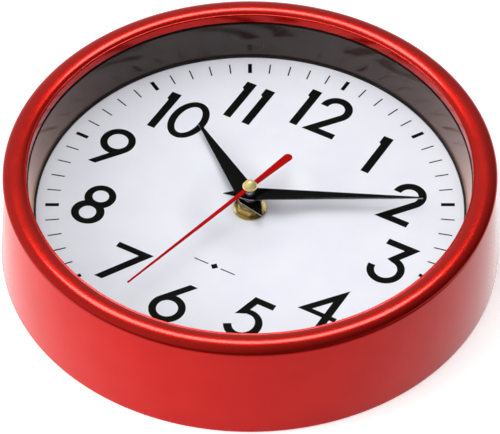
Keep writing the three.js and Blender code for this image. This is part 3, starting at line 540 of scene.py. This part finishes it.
def add_bezel():
    """Oval crown with a fine bead at its inner edge, a lip over the lens and a skirt into the case."""
    outer = outer_radius("front_bezel")
    middle_radius = outer - BEZEL_HALF_WIDTH
    middle = top("front_bezel") - BEZEL_HALF_HEIGHT
    underside = top("case_shell") + BEZEL_CASE_GAP
    undercut = outer - BEZEL_UNDERCUT
    lip = top("lens") + BEZEL_LENS_GAP
    radii = (BEZEL_HALF_WIDTH, BEZEL_HALF_HEIGHT)
    crown = arc((middle_radius, middle), radii, 0, BEZEL_CROWN_END)
    inner_radius = middle_radius - BEZEL_HALF_WIDTH
    bead_centre = (inner_radius + BEZEL_BEAD, crown[-1][1] - BEZEL_BEAD_DROP)
    bead = arc(bead_centre, (BEZEL_BEAD, BEZEL_BEAD), 70, 180, steps=12)
    skirt_outer = outer_radius("case_shell") - CASE_TAPER - CASE_WALL - BEZEL_CASE_GAP
    skirt_inner = skirt_outer - BEZEL_SKIRT
    section = crown + bead + [
        (inner_radius, lip + BEZEL_LIP_CHAMFER),
        (inner_radius + BEZEL_LIP_CHAMFER, lip),
        (skirt_inner, lip),
        (skirt_inner, bottom("front_bezel")),
        (skirt_outer, bottom("front_bezel")),
        (skirt_outer, underside),
        (undercut, underside),
    ]
    add_piece("bezel", turned(section), "red_gloss_plastic", ["front_bezel"])


def add_lens():
    """Flat pane with a softened rim."""
    radius, edge = outer_radius("lens"), 0.2 * MM
    section = filleted([
        (0, bottom("lens"), 0),
        (radius, bottom("lens"), edge),
        (radius, top("lens"), edge),
        (0, top("lens"), 0),
    ])
    add_piece("lens_pane", turned(section), "clear_glass", ["lens"])


WALL_TOP_RADIUS = 91.0 * MM
WALL_FOOT_RADIUS = 89.6 * MM
WALL_THICKNESS = 1.2 * MM
WALL_LIP = 1.0 * MM
WALL_FOOT_HEIGHT = 0.6 * MM
WALL_FOOT_INWARDS = 0.95 * MM
WALL_FOOT_INSET = 0.6 * MM
GASKET_BORE = 92.0 * MM
GASKET_SIDE_GAP = 0.3 * MM
GASKET_GAP = 0.1 * MM


def add_gasket():
    """Flat rubber ring in the top of the wall, under the lens."""
    low, high = bottom("lens_gasket"), top("lens_gasket")
    bore, outer, edge = GASKET_BORE, outer_radius("lens_gasket"), 0.1 * MM
    section = filleted([(bore, low, edge), (outer, low, edge), (outer, high, edge), (bore, high, edge)])
    add_piece("gasket", turned(section), "black_rubber", ["lens_gasket"])


def add_inner_wall():
    """Glossy cone between dial and lens, on a matt foot that rings the dial with a dark line: the foot
    is real, and its black is painted shade for the shadow in the gap between wall and dial.
    """
    foot, head = bottom("inner_ring"), top("inner_ring")
    foot_top = foot + WALL_FOOT_HEIGHT
    rebate = bottom("lens_gasket") - GASKET_GAP
    rebate_radius = GASKET_BORE - GASKET_SIDE_GAP
    lip = rebate - WALL_LIP
    outer = outer_radius("inner_ring")
    foot_outer = outer_radius("dial_plate") - WALL_FOOT_INSET
    foot_inner = WALL_FOOT_RADIUS - WALL_FOOT_INWARDS
    cone_foot = foot_top + 0.5 * MM
    section = filleted([
        (foot_inner, foot, 0.05 * MM),
        (foot_outer, foot, 0),
        (foot_outer, foot_top, 0),
        (WALL_FOOT_RADIUS + WALL_THICKNESS, cone_foot, 0),
        (WALL_TOP_RADIUS + WALL_THICKNESS, lip, 0),
        (outer, lip, 0),
        (outer, rebate, 0),
        (rebate_radius, rebate, 0),
        (rebate_radius, head, 0),
        (WALL_TOP_RADIUS, head, 0.15 * MM),
        (WALL_FOOT_RADIUS, foot_top, 0),
        (foot_inner, foot_top, 0.1 * MM),
    ])
    mesh = turned(section)
    add_piece("inner_wall", mesh, "dark_gloss_plastic", ["inner_ring"])
    foot_limit = foot_top + 0.01 * MM

    def is_foot(face):
        return max(mesh.vertices[index].co.z for index in face.vertices) <= foot_limit

    # Matt black rubber on the foot's faces: painted shade that stands for the shadow gap between wall
    # and dial.
    refinish_faces(mesh, "black_rubber", is_foot)


# ---------------- dial and its print
def dial_face(radius):
    """Height of the dial's face: a flat seat at the hub, a smooth rise around it, then flat."""
    way = (radius - DIAL_SEAT_RADIUS) / (DIAL_DISH_RADIUS - DIAL_SEAT_RADIUS)
    along = min(max(way, 0), 1)
    return DIAL_TOP - DIAL_DISH_DEPTH * (1 + math.cos(math.pi * along)) / 2


def add_dial():
    """Sheet of one thickness that follows the dial's face, with a hole for the bushing."""
    rise_steps = 24
    rise = [
        DIAL_SEAT_RADIUS + (DIAL_DISH_RADIUS - DIAL_SEAT_RADIUS) * i / rise_steps
        for i in range(rise_steps + 1)
    ]
    hole_radius = BUSHING_RADIUS + 0.2 * MM
    radii = [hole_radius, *rise, outer_radius("dial_plate")]
    back = [(radius, dial_face(radius) - DIAL_THICKNESS) for radius in radii]
    face = [(radius, dial_face(radius)) for radius in reversed(radii)]
    add_piece("dial", turned(back + face), "dial_white", ["dial_plate"])


INK_SUNK = 0.02 * MM
INK_RAISED = 0.04 * MM
DIGIT_HALF_HEIGHT = 11.5


# Each digit is given by its solid outlines and its holes, in millimetres about its own middle.
def digit_zero():
    return [oval((0, 0), (8.0, 11.6))], [oval((0, 0), (4.8, 8.55))]


def digit_one():
    half, high = 1.8, DIGIT_HALF_HEIGHT
    flag = half + 1.0
    outline = [(-half, -high), (half, -high), (half, high), (-flag, high), (-flag, 7.1), (-half, 6.5)]
    return [outline], []


def digit_two():
    """Bowl from a level cut on the left, a slanted stroke down from it, and a foot bar."""
    slope_start = -37
    centre, outer, inner = (0, 5.1), (7.3, 7.3), (3.9, 3.9)
    bowl_outer = arc(centre, outer, 180, slope_start)
    bowl_inner = arc(centre, inner, slope_start, 180)
    foot_left, foot_top, notch = -7.6, -8.35, -1.0
    slant = [bowl_inner[0], (foot_left, -DIGIT_HALF_HEIGHT), (notch, foot_top), bowl_outer[-1]]
    bar = [
        (foot_left, -DIGIT_HALF_HEIGHT),
        (7.2, -DIGIT_HALF_HEIGHT),
        (7.2, foot_top),
        (foot_left + 2.4, foot_top),
    ]
    return [bowl_outer + bowl_inner, slant, bar], []


def digit_three():
    """Flat top whose slanted stroke runs into the bowl."""
    centre = (0, -4.1)
    bowl = arc(centre, (7.8, 7.8), 90, -180) + arc(centre, (4.7, 4.7), -180, 90)
    zigzag = [(-6.7, 11.9), (7.7, 11.9), (2.2, 2.7), (0, 0.8), (-2.2, 1.4), (2.0, 8.7), (-6.7, 8.7)]
    return [bowl, zigzag], []


def digit_four():
    outline = [
        (-8.4, -6.4),
        (2.7, -6.4),
        (2.7, -11.7),
        (5.95, -11.7),
        (5.95, -6.4),
        (8.4, -6.4),
        (8.4, -4.1),
        (5.95, -4.1),
        (5.95, 11.9),
    ]
    return [outline], [[(-3.0, -4.1), (2.7, -4.1), (2.7, 3.1)]]


def digit_five():
    """Top bar and leaning stem over a bowl that is open on the left."""
    bowl = arc((-0.2, -3.2), (7.85, 8.1), 105, -153) + arc((-0.2, -2.85), (4.55, 5.15), -153, 105)
    stem = [
        (-2.9, 11.9),
        (6.7, 11.9),
        (6.7, 8.9),
        (-0.3, 8.9),
        (-1.5, 4.6),
        (-0.4, 3.6),
        (-1.9, 2.1),
        (-5.8, 0.2),
    ]
    return [bowl, stem], []


def digit_six():
    """Ring with a straight stroke that leaves its left side as a tangent."""
    centre = (0.05, -3.9)
    stroke = [(1.8, 11.7), (5.3, 11.7), (-0.4, 3.4), (-6.13, 0.46)]
    return [circle(centre, 7.57), stroke], [circle(centre, 4.45)]


def digit_seven():
    outline = [(-8.3, 10.6), (8.1, 10.6), (-3.9, -10.4), (-7.6, -10.4), (2.7, 7.7), (-8.3, 7.7)]
    return [outline], []


def digit_eight():
    rings = [circle((0, 5.0), 6.65), oval((0, -4.9), (7.07, 6.7))]
    holes = [oval((0, 5.36), (3.5, 3.36)), oval((0, -5.07), (3.57, 3.64))]
    return rings, holes


def digit_nine():
    """A six turned half round, set a little higher."""
    rise = 0.4

    def turn(outline):
        return [(-x, rise - y) for x, y in outline]

    solid, holes = digit_six()
    return [turn(outline) for outline in solid], [turn(outline) for outline in holes]


# Each numeral: the middle of its place on the dial, then its digits and how far each one stands to the
# right of there, all in millimetres.
NUMERALS = {
    1: ((31.4, 52.0), [(digit_one, 0.4)]),
    2: ((54.9, 32.2), [(digit_two, 0)]),
    3: ((66.0, 0), [(digit_three, 0)]),
    4: ((53.6, -33.7), [(digit_four, 0)]),
    5: ((30.8, -55.6), [(digit_five, 0)]),
    6: ((0, -62.9), [(digit_six, 0)]),
    7: ((-27.4, -55.6), [(digit_seven, 0)]),
    8: ((-56.1, -32.2), [(digit_eight, 0)]),
    9: ((-66.9, 0), [(digit_nine, 0)]),
    10: ((-51.2, 30.4), [(digit_one, -8.6), (digit_zero, 3.4)]),
    11: ((-31.0, 52.0), [(digit_one, -4.0), (digit_one, 5.1)]),
    12: ((0.2, 62.0), [(digit_one, -8.5), (digit_two, 3.4)]),
}


def ink(outlines, middle=(0, 0)):
    """Thin printed solids over outlines in millimetres about a middle on the flat of the dial."""
    return [
        prism(
            [((middle[0] + x) * MM, (middle[1] + y) * MM) for x, y in outline],
            DIAL_TOP - INK_SUNK,
            DIAL_TOP + INK_RAISED,
        )
        for outline in outlines
    ]


def add_numerals():
    for hour, ((x, y), digits) in NUMERALS.items():
        solid, holes = [], []
        for digit, shift in digits:
            outlines, openings = digit()
            solid += ink(outlines, (x + shift, y))
            holes += ink(openings, (x + shift, y))
        mesh = combined(solid, holes)
        add_piece(f"numeral_{hour}", mesh, "dial_ink")


def add_minute_marks():
    """Sixty radial bars in one ring, with every fifth one wider."""
    inner, outer = 79.2, 84.9
    hour_half, minute_half = 0.85, 0.29
    bm = bmesh.new()
    for minute in range(60):
        half = hour_half if minute % 5 == 0 else minute_half
        [bar] = ink([rectangle(-half, half, inner, outer)])
        bar.transform(Matrix.Rotation(math.tau * minute / 60, 4, "Z"))
        bm.from_mesh(bar)
    add_piece("minute_marks", as_mesh(bm), "dial_ink")


def add_ornament():
    """Small diamond between two fine rules, where a dial carries its line of print."""
    middle = (4.9, -37.4)
    half_length, half_rule, diamond = 9.5, 0.25, 1.7
    rule_start = diamond + 1.2
    rule = rectangle(rule_start, half_length, -half_rule, half_rule)
    opposite = [(-x, -y) for x, y in rule]
    lozenge = [(-diamond, 0), (0, -diamond), (diamond, 0), (0, diamond)]
    mesh = combined(ink([lozenge, rule, opposite], middle))
    add_piece("dial_ornament", mesh, "dial_ink")


# ---------------- hub
def add_ring(name, node, finish, body, bore, edge):
    """Ring with rounded edges, in the place of a turned CAD node."""
    radius = outer_radius(node)
    section = filleted([
        (bore, bottom(node), edge / 2),
        (radius, bottom(node), edge),
        (radius, top(node), edge),
        (bore, top(node), edge / 2),
    ])
    add_piece(name, turned(section, SMALL_ROUND), finish, [node], body)


def add_washer():
    bore = BUSHING_RADIUS + 0.15 * MM
    add_ring("washer", "dial_washer", "brass", "clock_body", bore, 0.12 * MM)


def add_boss():
    bore = 1.8 * MM
    add_ring("boss", "hour_boss", "steel", "hour_hand_body", bore, 0.2 * MM)


def add_bushing():
    """Brass tube with a flange behind the dial and turned threads above it."""
    foot, head = bottom("threaded_bushing"), top("threaded_bushing")
    flange_radius, flange = outer_radius("threaded_bushing"), foot + 0.6 * MM
    bore = 2.65 * MM
    pitch, thread_depth = 0.5 * MM, 0.2 * MM
    core = BUSHING_RADIUS - thread_depth
    section = [(bore, foot), (flange_radius, foot), (flange_radius, flange), (core, flange)]
    turns = int((head - flange - thread_depth) / pitch)
    for turn in range(turns):
        height = flange + pitch * (turn + 0.5)
        section += [(BUSHING_RADIUS, height), (core, height + pitch / 2)]
    section += [(BUSHING_RADIUS - 2 * thread_depth, head), (bore, head)]
    add_piece("bushing", turned(section, SMALL_ROUND), "brass", ["threaded_bushing"])


def add_hex_nut():
    """Hexagon whose corners are chamfered by a cone, above and below."""
    low, high = bottom("hex_nut"), top("hex_nut")
    corner = outer_radius("hex_nut")
    hexagon = arc((0, 0), (corner, corner), 0, 360, steps=6)[:-1]
    chamfer_in, chamfer_down, clear = 0.75 * MM, 0.45 * MM, 0.02 * MM
    cone = turned([
        (0, low),
        (corner - chamfer_in, low),
        (corner + clear, low + chamfer_down),
        (corner + clear, high - chamfer_down),
        (corner - chamfer_in, high),
        (0, high),
    ], SMALL_ROUND)
    bore = circle((0, 0), BUSHING_RADIUS + 0.1 * MM)
    mesh = combined(through([hexagon], low, high), through([bore], low, high), [cone])
    add_piece("nut", mesh, "nut_brass", ["hex_nut"])


def add_minute_nut():
    """Small round nut with a groove below its rounded top."""
    low, high = bottom("minute_nut"), top("minute_nut")
    radius, bore = outer_radius("minute_nut"), 0.8 * MM
    groove_share, groove_depth, groove_height = 0.55, 0.3 * MM, 0.3 * MM
    groove = low + (high - low) * groove_share
    edge, top_edge = 0.1 * MM, 0.5 * MM
    section = filleted([
        (bore, low, 0),
        (radius, low, edge),
        (radius, groove, edge),
        (radius - groove_depth, groove + groove_height / 2, 0),
        (radius, groove + groove_height, edge),
        (radius, high, top_edge),
        (bore, high, edge),
    ])
    mesh = turned(section, SMALL_ROUND)
    add_piece("minute_hand_nut", mesh, "steel", ["minute_nut"], "minute_hand_body")


def add_second_cap():
    """Brass dome with a small step at its foot."""
    low, high = bottom("second_hand_cap"), top("second_hand_cap")
    radius = outer_radius("second_hand_cap")
    step = 0.35 * MM
    dome_radii = (radius - step, high - low - step)
    dome = arc((0, low + step), dome_radii, 0, 90, steps=24)[:-1]
    section = [(0, low), (radius, low), (radius, low + step), *dome, (0, high)]
    mesh = turned(section, SMALL_ROUND)
    add_piece("cap", mesh, "cap_brass", ["second_hand_cap"], "second_hand_body")


# ---------------- hands
HAND_CROWN = 0.06 * MM
TAIL_HALF_WIDTH = 0.15 * MM

# Where each hand points at rest, in degrees clockwise from 12 o'clock.
HOUR_ANGLE = 304.0
MINUTE_ANGLE = 61.8
SECOND_ANGLE = 192.5


def crowned_hand(stations, node, clockwise, hole_radius=0):
    """Hand with a rounded back, between its node's bottom and top.

    It is made pointing to +Y, through (distance along it, half width) stations, and then turned.
    """
    low, high = bottom(node), top(node)
    across = 8
    shares = [2 * k / across - 1 for k in range(across + 1)]
    bm = bmesh.new()
    rows = []
    for distance, half_width in stations:
        back = [
            bm.verts.new((half_width * share, distance, high - HAND_CROWN * share ** 2))
            for share in shares
        ]
        under = [bm.verts.new((half_width * share, distance, low)) for share in reversed(shares)]
        rows.append(back + under)
    for row, following in zip(rows, rows[1:]):
        for k in range(len(row)):
            bm.faces.new((row[k - 1], row[k], following[k], following[k - 1]))
    bm.faces.new(rows[0])
    bm.faces.new(rows[-1])
    mesh = as_mesh(bm)
    if hole_radius:
        mesh = combined([mesh], through([circle((0, 0), hole_radius)], low, high))
    mesh.transform(Matrix.Rotation(-math.radians(clockwise), 4, "Z"))
    return mesh


def rounded_end(centre, half_width, direction):
    """Stations round the end of a hand, from its full width to its point; direction is 1 or -1."""
    steps = 8
    angles = [math.pi / 2 * i / steps for i in range(steps)]
    return [
        (centre + direction * half_width * math.sin(angle), half_width * math.cos(angle))
        for angle in angles
    ]


def kite_stations(tip, tail, half_width, tip_half):
    """Long kite with its widest place at the hand axis."""
    return [
        (-tail, TAIL_HALF_WIDTH),
        (0, half_width),
        *rounded_end(tip - tip_half, tip_half, 1),
    ]


def add_edged_hand(name, mesh, node, body):
    """Hand painted black on its back and underside, with the bright metal bare along its cut edge."""
    add_piece(name, mesh, "hand_black", [node], body)
    refinish_faces(mesh, "steel", lambda face: abs(face.normal.z) < 0.5)


def add_hour_hand():
    stations = kite_stations(tip=49.5 * MM, tail=11.0 * MM, half_width=4.7 * MM, tip_half=0.5 * MM)
    mesh = crowned_hand(stations, "hour_hand", HOUR_ANGLE, hole_radius=2.55 * MM)
    add_edged_hand("hour_pointer", mesh, "hour_hand", "hour_hand_body")


def add_minute_hand():
    stations = kite_stations(tip=71.4 * MM, tail=11.1 * MM, half_width=3.6 * MM, tip_half=0.4 * MM)
    mesh = crowned_hand(stations, "minute_hand", MINUTE_ANGLE, hole_radius=1.65 * MM)
    add_edged_hand("minute_pointer", mesh, "minute_hand", "minute_hand_body")


def add_second_hand():
    """Needle that widens behind the hand axis into a rounded paddle."""
    paddle, paddle_half, neck_half = 23.3 * MM, 1.9 * MM, 1.0 * MM
    tip, tip_half = 72.6 * MM, 0.35 * MM
    stations = [
        *reversed(rounded_end(-paddle, paddle_half, -1)),
        (0, neck_half),
        *rounded_end(tip - tip_half, tip_half, 1),
    ]
    mesh = crowned_hand(stations, "second_hand", SECOND_ANGLE)
    add_piece("second_pointer", mesh, "hand_red", ["second_hand"], "second_hand_body")


# ---------------- back
def chamfered(mesh, width):
    """The mesh with its sharp edges cut back by a width."""
    block = new_object("block", mesh)
    modifier = block.modifiers.new("edges", "BEVEL")
    modifier.width = width
    modifier.segments = 1
    modifier.limit_method = "ANGLE"
    depsgraph = bpy.context.evaluated_depsgraph_get()
    result = bpy.data.meshes.new_from_object(block.evaluated_get(depsgraph))
    bpy.data.objects.remove(block)
    return result


COVER_SCREW_HOLE = 2.4 * MM
HANGER_SCREW_HOLE = 1.6 * MM


def screw_holes(start, radius):
    return [circle(middle_of(node)[:2], radius) for node in nodes_named(start)]


def add_rear_cover():
    """Round cover with two shallow grooves, a rim round the movement's window, and its openings."""
    low, high = bottom("rear_cover"), top("rear_cover")
    radius = outer_radius("rear_cover")
    edge, outer_edge = 0.2 * MM, 0.5 * MM
    groove_width, groove_depth = 1.2 * MM, 0.5 * MM
    groove_insets = (20 * MM, 12 * MM)
    section = [(0, low, 0)]
    for inset in groove_insets:
        groove = radius - inset
        section += [
            (groove, low, edge),
            (groove, low + groove_depth, edge),
            (groove + groove_width, low + groove_depth, edge),
            (groove + groove_width, low, edge),
        ]
    section += [(radius, low, outer_edge), (radius, high, edge), (0, high, 0)]
    plate = turned(filleted(section, steps=3))

    window_side, window_corner = outer_radius("movement_case") * 2 + 2 * MM, 4 * MM
    rim_width, rim_height, rim_root = 1.6 * MM, 0.5 * MM, 1 * MM
    rim_side = window_side + 2 * rim_width
    rim = rounded_rectangle(rim_side, rim_side, window_corner + rim_width)
    hanger_width, hanger_height, hanger_corner = 16 * MM, 22 * MM, 3 * MM
    hanger_middle = middle_of("hanger_plate")[:2]
    openings = [
        rounded_rectangle(window_side, window_side, window_corner),
        rounded_rectangle(hanger_width, hanger_height, hanger_corner, hanger_middle),
        *screw_holes("cover_screw", COVER_SCREW_HOLE),
        *screw_holes("hanger_screw", HANGER_SCREW_HOLE),
    ]
    raised = prism(rim, low - rim_height, low + rim_root)
    mesh = combined([plate, raised], through(openings, low, high))
    add_piece("back_cover", mesh, "black_plastic", ["rear_cover"])


def add_hanger():
    """Stamped steel plate with a keyhole for the nail."""
    low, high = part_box("hanger_plate")
    middle = middle_of("hanger_plate")
    plate = rounded_rectangle(high.x - low.x, high.y - low.y, 3 * MM, middle[:2])
    entry, entry_radius = middle.y - 4 * MM, 5 * MM
    slot_end, slot_half = middle.y + 8 * MM, 2.5 * MM
    openings = [
        circle((0, entry), entry_radius),
        rectangle(-slot_half, slot_half, entry, slot_end),
        *screw_holes("hanger_screw", HANGER_SCREW_HOLE),
    ]
    mesh = combined([prism(plate, low.z, high.z)], through(openings, low.z, high.z))
    add_piece("hanger", chamfered(mesh, 0.15 * MM), "steel", ["hanger_plate"])


def add_screw(node):
    """Screw with a domed head, a cross recess and a threaded shank."""
    low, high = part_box(node)
    radius = outer_radius(node)
    head, rim, shank = 0.6 * MM, 0.15 * MM, radius * 0.42
    thread_depth, pitch = 0.15 * MM, 0.6 * MM
    under = low.z + head
    dome = arc((0, under - rim), (radius, head - rim), 270, 360, steps=12)
    section = [(0, low.z), *dome[1:], (radius, under), (shank, under)]
    turns = int((high.z - under) / pitch) - 1
    for turn in range(turns):
        height = under + pitch * (turn + 0.5)
        section += [(shank - thread_depth, height), (shank, height + pitch / 2)]
    section += [(shank - thread_depth, high.z - pitch / 2), (0, high.z)]
    arm, arm_half, recess = radius * 0.55, radius * 0.13, 0.4 * MM
    cross = [rectangle(-arm, arm, -arm_half, arm_half), rectangle(-arm_half, arm_half, -arm, arm)]
    cuts = [prism(outline, low.z - CUT_PAST, low.z + recess) for outline in cross]
    mesh = combined([turned(section, SMALL_ROUND)], cuts)
    mesh.transform(Matrix.Translation((*middle_of(node)[:2], 0)))
    add_piece(f"{node}_finished", mesh, "steel", [node])


def add_movement_case():
    """Square housing with a battery bay, a ring round the setting knob, and polarity marks."""
    low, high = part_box("movement_case")
    side, corner, wall = high.x - low.x, 3 * MM, 1.2 * MM
    inside = side / 2 - wall
    behind, in_front = low.z - CUT_PAST, high.z + CUT_PAST

    cell_low, cell_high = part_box("battery_cell")
    cell_gap, partition = 0.5 * MM, 1.4 * MM
    bay_bottom, bay_top = cell_low.y - cell_gap, cell_high.y + cell_gap
    bay = rectangle(-inside, inside, bay_bottom, bay_top)
    gear_room = rectangle(-inside, inside, bay_top + partition, inside)

    knob = middle_of("setting_knob")[:2]
    ring_radius, well_radius, shaft_hole = 7.2 * MM, 6.4 * MM, 1.8 * MM
    mark_x, mark_y = side / 2 - 8 * MM, bay_top + 3.5 * MM
    arm, arm_half = 1.6 * MM, 0.3 * MM

    def bar(x, half_width, half_height):
        return rectangle(x - half_width, x + half_width, mark_y - half_height, mark_y + half_height)

    plus = [bar(mark_x, arm, arm_half), bar(mark_x, arm_half, arm)]
    minus = bar(-mark_x, arm, arm_half)
    raised, root = 0.3 * MM, wall / 2
    solids = [prism(rounded_rectangle(side, side, corner), low.z, high.z)]
    for outline in [*plus, minus, circle(knob, ring_radius)]:
        solids.append(prism(outline, low.z - raised, low.z + root))
    cuts = [
        prism(gear_room, low.z + wall, in_front),
        prism(bay, behind, in_front),
        prism(circle(knob, well_radius), behind, low.z),
        prism(circle(knob, shaft_hole), behind, low.z + wall + CUT_PAST),
    ]
    mesh = chamfered(combined(solids, cuts), 0.12 * MM)
    add_piece("movement_housing", mesh, "black_plastic", ["movement_case"])


def add_cell():
    """Size AA cell along X: a sleeve crimped over steel ends, with the raised contact to the right."""
    low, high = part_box("battery_cell")
    radius = (high.z - low.z) / 2
    button, button_height = 2.7 * MM, 1.3 * MM
    shoulder, end_radius = high.x - button_height, radius - 1.1 * MM
    groove_radius, groove_depth = end_radius - 0.8 * MM, 0.3 * MM
    bevel = 0.1 * MM
    section = filleted([
        (0, low.x, 0),
        (groove_radius - 2 * bevel, low.x, bevel),
        (groove_radius, low.x + groove_depth, 0),
        (end_radius, low.x + groove_depth, 0),
        (end_radius + bevel, low.x, bevel),
        (radius, low.x, 0.5 * MM),
        (radius, shoulder, 0.7 * MM),
        (end_radius, shoulder, 0.2 * MM),
        (end_radius - bevel, shoulder - 0.5 * MM, 0),
        (button, shoulder - 0.3 * MM, 0),
        (button, high.x, 0.4 * MM),
        (0, high.x, 0),
    ])
    mesh = turned(section, SMALL_ROUND)
    middle = middle_of("battery_cell")
    mesh.transform(Matrix.Translation((0, middle.y, middle.z)) @ Matrix.Rotation(math.pi / 2, 4, "Y"))
    add_piece("aa_cell", mesh, "cell_sleeve", ["battery_cell"])

    def is_bare_end(face):
        return math.hypot(face.center.y - middle.y, face.center.z - middle.z) < end_radius

    refinish_faces(mesh, "steel", is_bare_end)


# ---------------- stage
# Angles are in degrees, lens and sensor in millimetres, and lengths in metres.
CAMERA_AZIMUTH = 30
CAMERA_ELEVATION = 46.175
CAMERA_DISTANCE = 1.2805
CAMERA_DROP = 5.1 * MM
CAMERA_SENSOR = 36
CAMERA_LENS = 222.36
FLOOR_HALF = 6
DIAL_CENTRE = Vector((0, 0, DIAL_TOP))


def towards(azimuth, elevation):
    """Unit direction by degrees: azimuth 0 is the camera's side and 90 is its right."""
    turn = math.radians(CAMERA_AZIMUTH + azimuth)
    rise = math.radians(elevation)
    return Vector((
        math.cos(rise) * math.sin(turn),
        -math.cos(rise) * math.cos(turn),
        math.sin(rise),
    ))


def add_camera():
    """Long lens that looks down at the dial from the side of the figure five."""
    data = bpy.data.cameras.new("camera")
    data.sensor_width = CAMERA_SENSOR
    data.lens = CAMERA_LENS
    camera = new_object("camera", data)
    away = towards(0, CAMERA_ELEVATION)
    camera.rotation_euler = away.to_track_quat("Z", "Y").to_euler()
    up = camera.rotation_euler.to_matrix() @ Vector((0, 1, 0))
    camera.location = DIAL_CENTRE - up * CAMERA_DROP + away * CAMERA_DISTANCE
    bpy.context.scene.camera = camera


def add_floor():
    """Plain white floor that gives a little light of its own."""
    bm = bmesh.new()
    corners = rectangle(-FLOOR_HALF, FLOOR_HALF, -FLOOR_HALF, FLOOR_HALF)
    bm.faces.new([bm.verts.new((x, y, 0)) for x, y in corners])
    floor = new_object("floor", as_mesh(bm))
    material, tree, shader = new_material(
        "floor_white", Roughness=0.9, Emission_Color=(1, 1, 1, 1), Emission_Strength=0.35)
    dark, light = srgb(248, 248, 248), srgb(252, 252, 252)
    paint(tree, shader, noise(tree, 3), [(NOISE_LOW, dark), (NOISE_HIGH, light)])
    floor.data.materials.append(material)
    floor.visible_glossy = False


def add_softbox(
        name, azimuth, elevation, distance, width, height, radiance, in_gloss=True, in_diffuse=True):
    """Area light that faces the dial, with its power given by its radiance."""
    data = bpy.data.lights.new(name, "AREA")
    data.shape = "RECTANGLE"
    data.size = width
    data.size_y = height
    data.energy = radiance * math.pi * width * height
    light = new_object(name, data)
    direction = towards(azimuth, elevation)
    light.rotation_euler = direction.to_track_quat("Z", "Y").to_euler()
    light.location = DIAL_CENTRE + direction * distance
    light.visible_glossy = in_gloss
    light.visible_diffuse = in_diffuse


# Grey levels round the room, by how far a ray leans towards an aim: 0 is straight away from it and 1 is
# straight at it.
WALL_LEVELS = [(0, 0.65), (0.2, 0.62), (0.33, 0.55), (0.5, 0.36), (0.67, 0.2), (0.8, 0.08), (1, 0.04)]
GROUND_LEVELS = [(0, 1.3), (0.2, 1.2), (0.5, 0.6), (0.8, 0.2), (1, 0.1)]
HORIZON_BLUR = 0.1


def background(tree, direction, aim, levels):
    """Background whose grey level follows how far a direction leans towards an aim."""
    facing = tree.nodes.new("ShaderNodeVectorMath")
    facing.operation = "DOT_PRODUCT"
    facing.inputs[1].default_value = aim
    spread = tree.nodes.new("ShaderNodeMapRange")
    spread.inputs["From Min"].default_value = -1
    ramp = tree.nodes.new("ShaderNodeValToRGB")
    elements = ramp.color_ramp.elements
    for position, _ in levels[1:-1]:
        elements.new(position)
    for element, (_, level) in zip(elements, levels):
        element.color = (level, level, level, 1)
    light = tree.nodes.new("ShaderNodeBackground")
    tree.links.new(direction, facing.inputs[0])
    tree.links.new(facing.outputs["Value"], spread.inputs["Value"])
    tree.links.new(spread.outputs["Result"], ramp.inputs["Fac"])
    tree.links.new(ramp.outputs["Color"], light.inputs["Color"])
    return light.outputs["Background"]


def mixed(tree, share, first, second):
    """Shader that goes from the first to the second as the share goes from 0 to 1."""
    mix = tree.nodes.new("ShaderNodeMixShader")
    tree.links.new(share, mix.inputs["Fac"])
    tree.links.new(first, mix.inputs[1])
    tree.links.new(second, mix.inputs[2])
    return mix.outputs["Shader"]


def add_room():
    """Pale studio, darker towards the camera and its right. The camera itself sees plain white."""
    world = bpy.data.worlds.new("studio")
    bpy.context.scene.world = world
    world.use_nodes = True
    tree = world.node_tree
    tree.nodes.clear()
    output = tree.nodes.new("ShaderNodeOutputWorld")
    rays = tree.nodes.new("ShaderNodeLightPath")
    direction = tree.nodes.new("ShaderNodeTexCoord").outputs["Generated"]
    rise = tree.nodes.new("ShaderNodeSeparateXYZ")
    horizon = tree.nodes.new("ShaderNodeMapRange")
    horizon.inputs["From Min"].default_value = -HORIZON_BLUR
    horizon.inputs["From Max"].default_value = HORIZON_BLUR
    tree.links.new(direction, rise.inputs["Vector"])
    tree.links.new(rise.outputs["Z"], horizon.inputs["Value"])
    walls = background(tree, direction, towards(65, 0), WALL_LEVELS)
    ground = background(tree, direction, towards(0, 0), GROUND_LEVELS)
    room = mixed(tree, horizon.outputs["Result"], ground, walls)
    backdrop = tree.nodes.new("ShaderNodeBackground")
    backdrop.inputs["Color"].default_value = (1, 1, 1, 1)
    seen = mixed(tree, rays.outputs["Is Camera Ray"], room, backdrop.outputs["Background"])
    tree.links.new(seen, output.inputs["Surface"])


def add_lights():
    """Soft boxes: only the far one shows in gloss, and there it draws the bezel's long highlights."""
    add_softbox(
        "top_light", azimuth=180, elevation=86, distance=1.6,
        width=1.0, height=1.0, radiance=3.05, in_gloss=False)
    add_softbox(
        "far_light", azimuth=185, elevation=62, distance=1.5,
        width=0.85, height=0.32, radiance=12, in_diffuse=False)
    add_softbox(
        "left_light", azimuth=275, elevation=15, distance=1.5,
        width=0.8, height=0.6, radiance=4, in_gloss=False)
    add_softbox(
        "left_fill", azimuth=-80, elevation=25, distance=2.0,
        width=1.6, height=1.2, radiance=2.6, in_gloss=False)
    add_softbox(
        "near_fill", azimuth=0, elevation=60, distance=1.8,
        width=1.2, height=0.8, radiance=2.8, in_gloss=False)


# ---------------- assembly
bpy.context.scene.view_settings.view_transform = "Standard"

refinish_frame()
add_case()
add_bezel()
add_lens()
add_gasket()
add_inner_wall()
add_dial()
add_numerals()
add_minute_marks()
add_ornament()
add_washer()
add_bushing()
add_hex_nut()
add_boss()
add_hour_hand()
add_minute_hand()
add_second_hand()
add_minute_nut()
add_second_cap()
add_rear_cover()
add_hanger()
for screw_node in nodes_named("cover_screw") + nodes_named("hanger_screw"):
    add_screw(screw_node)
add_movement_case()
add_cell()

add_floor()
add_room()
add_lights()
add_camera()
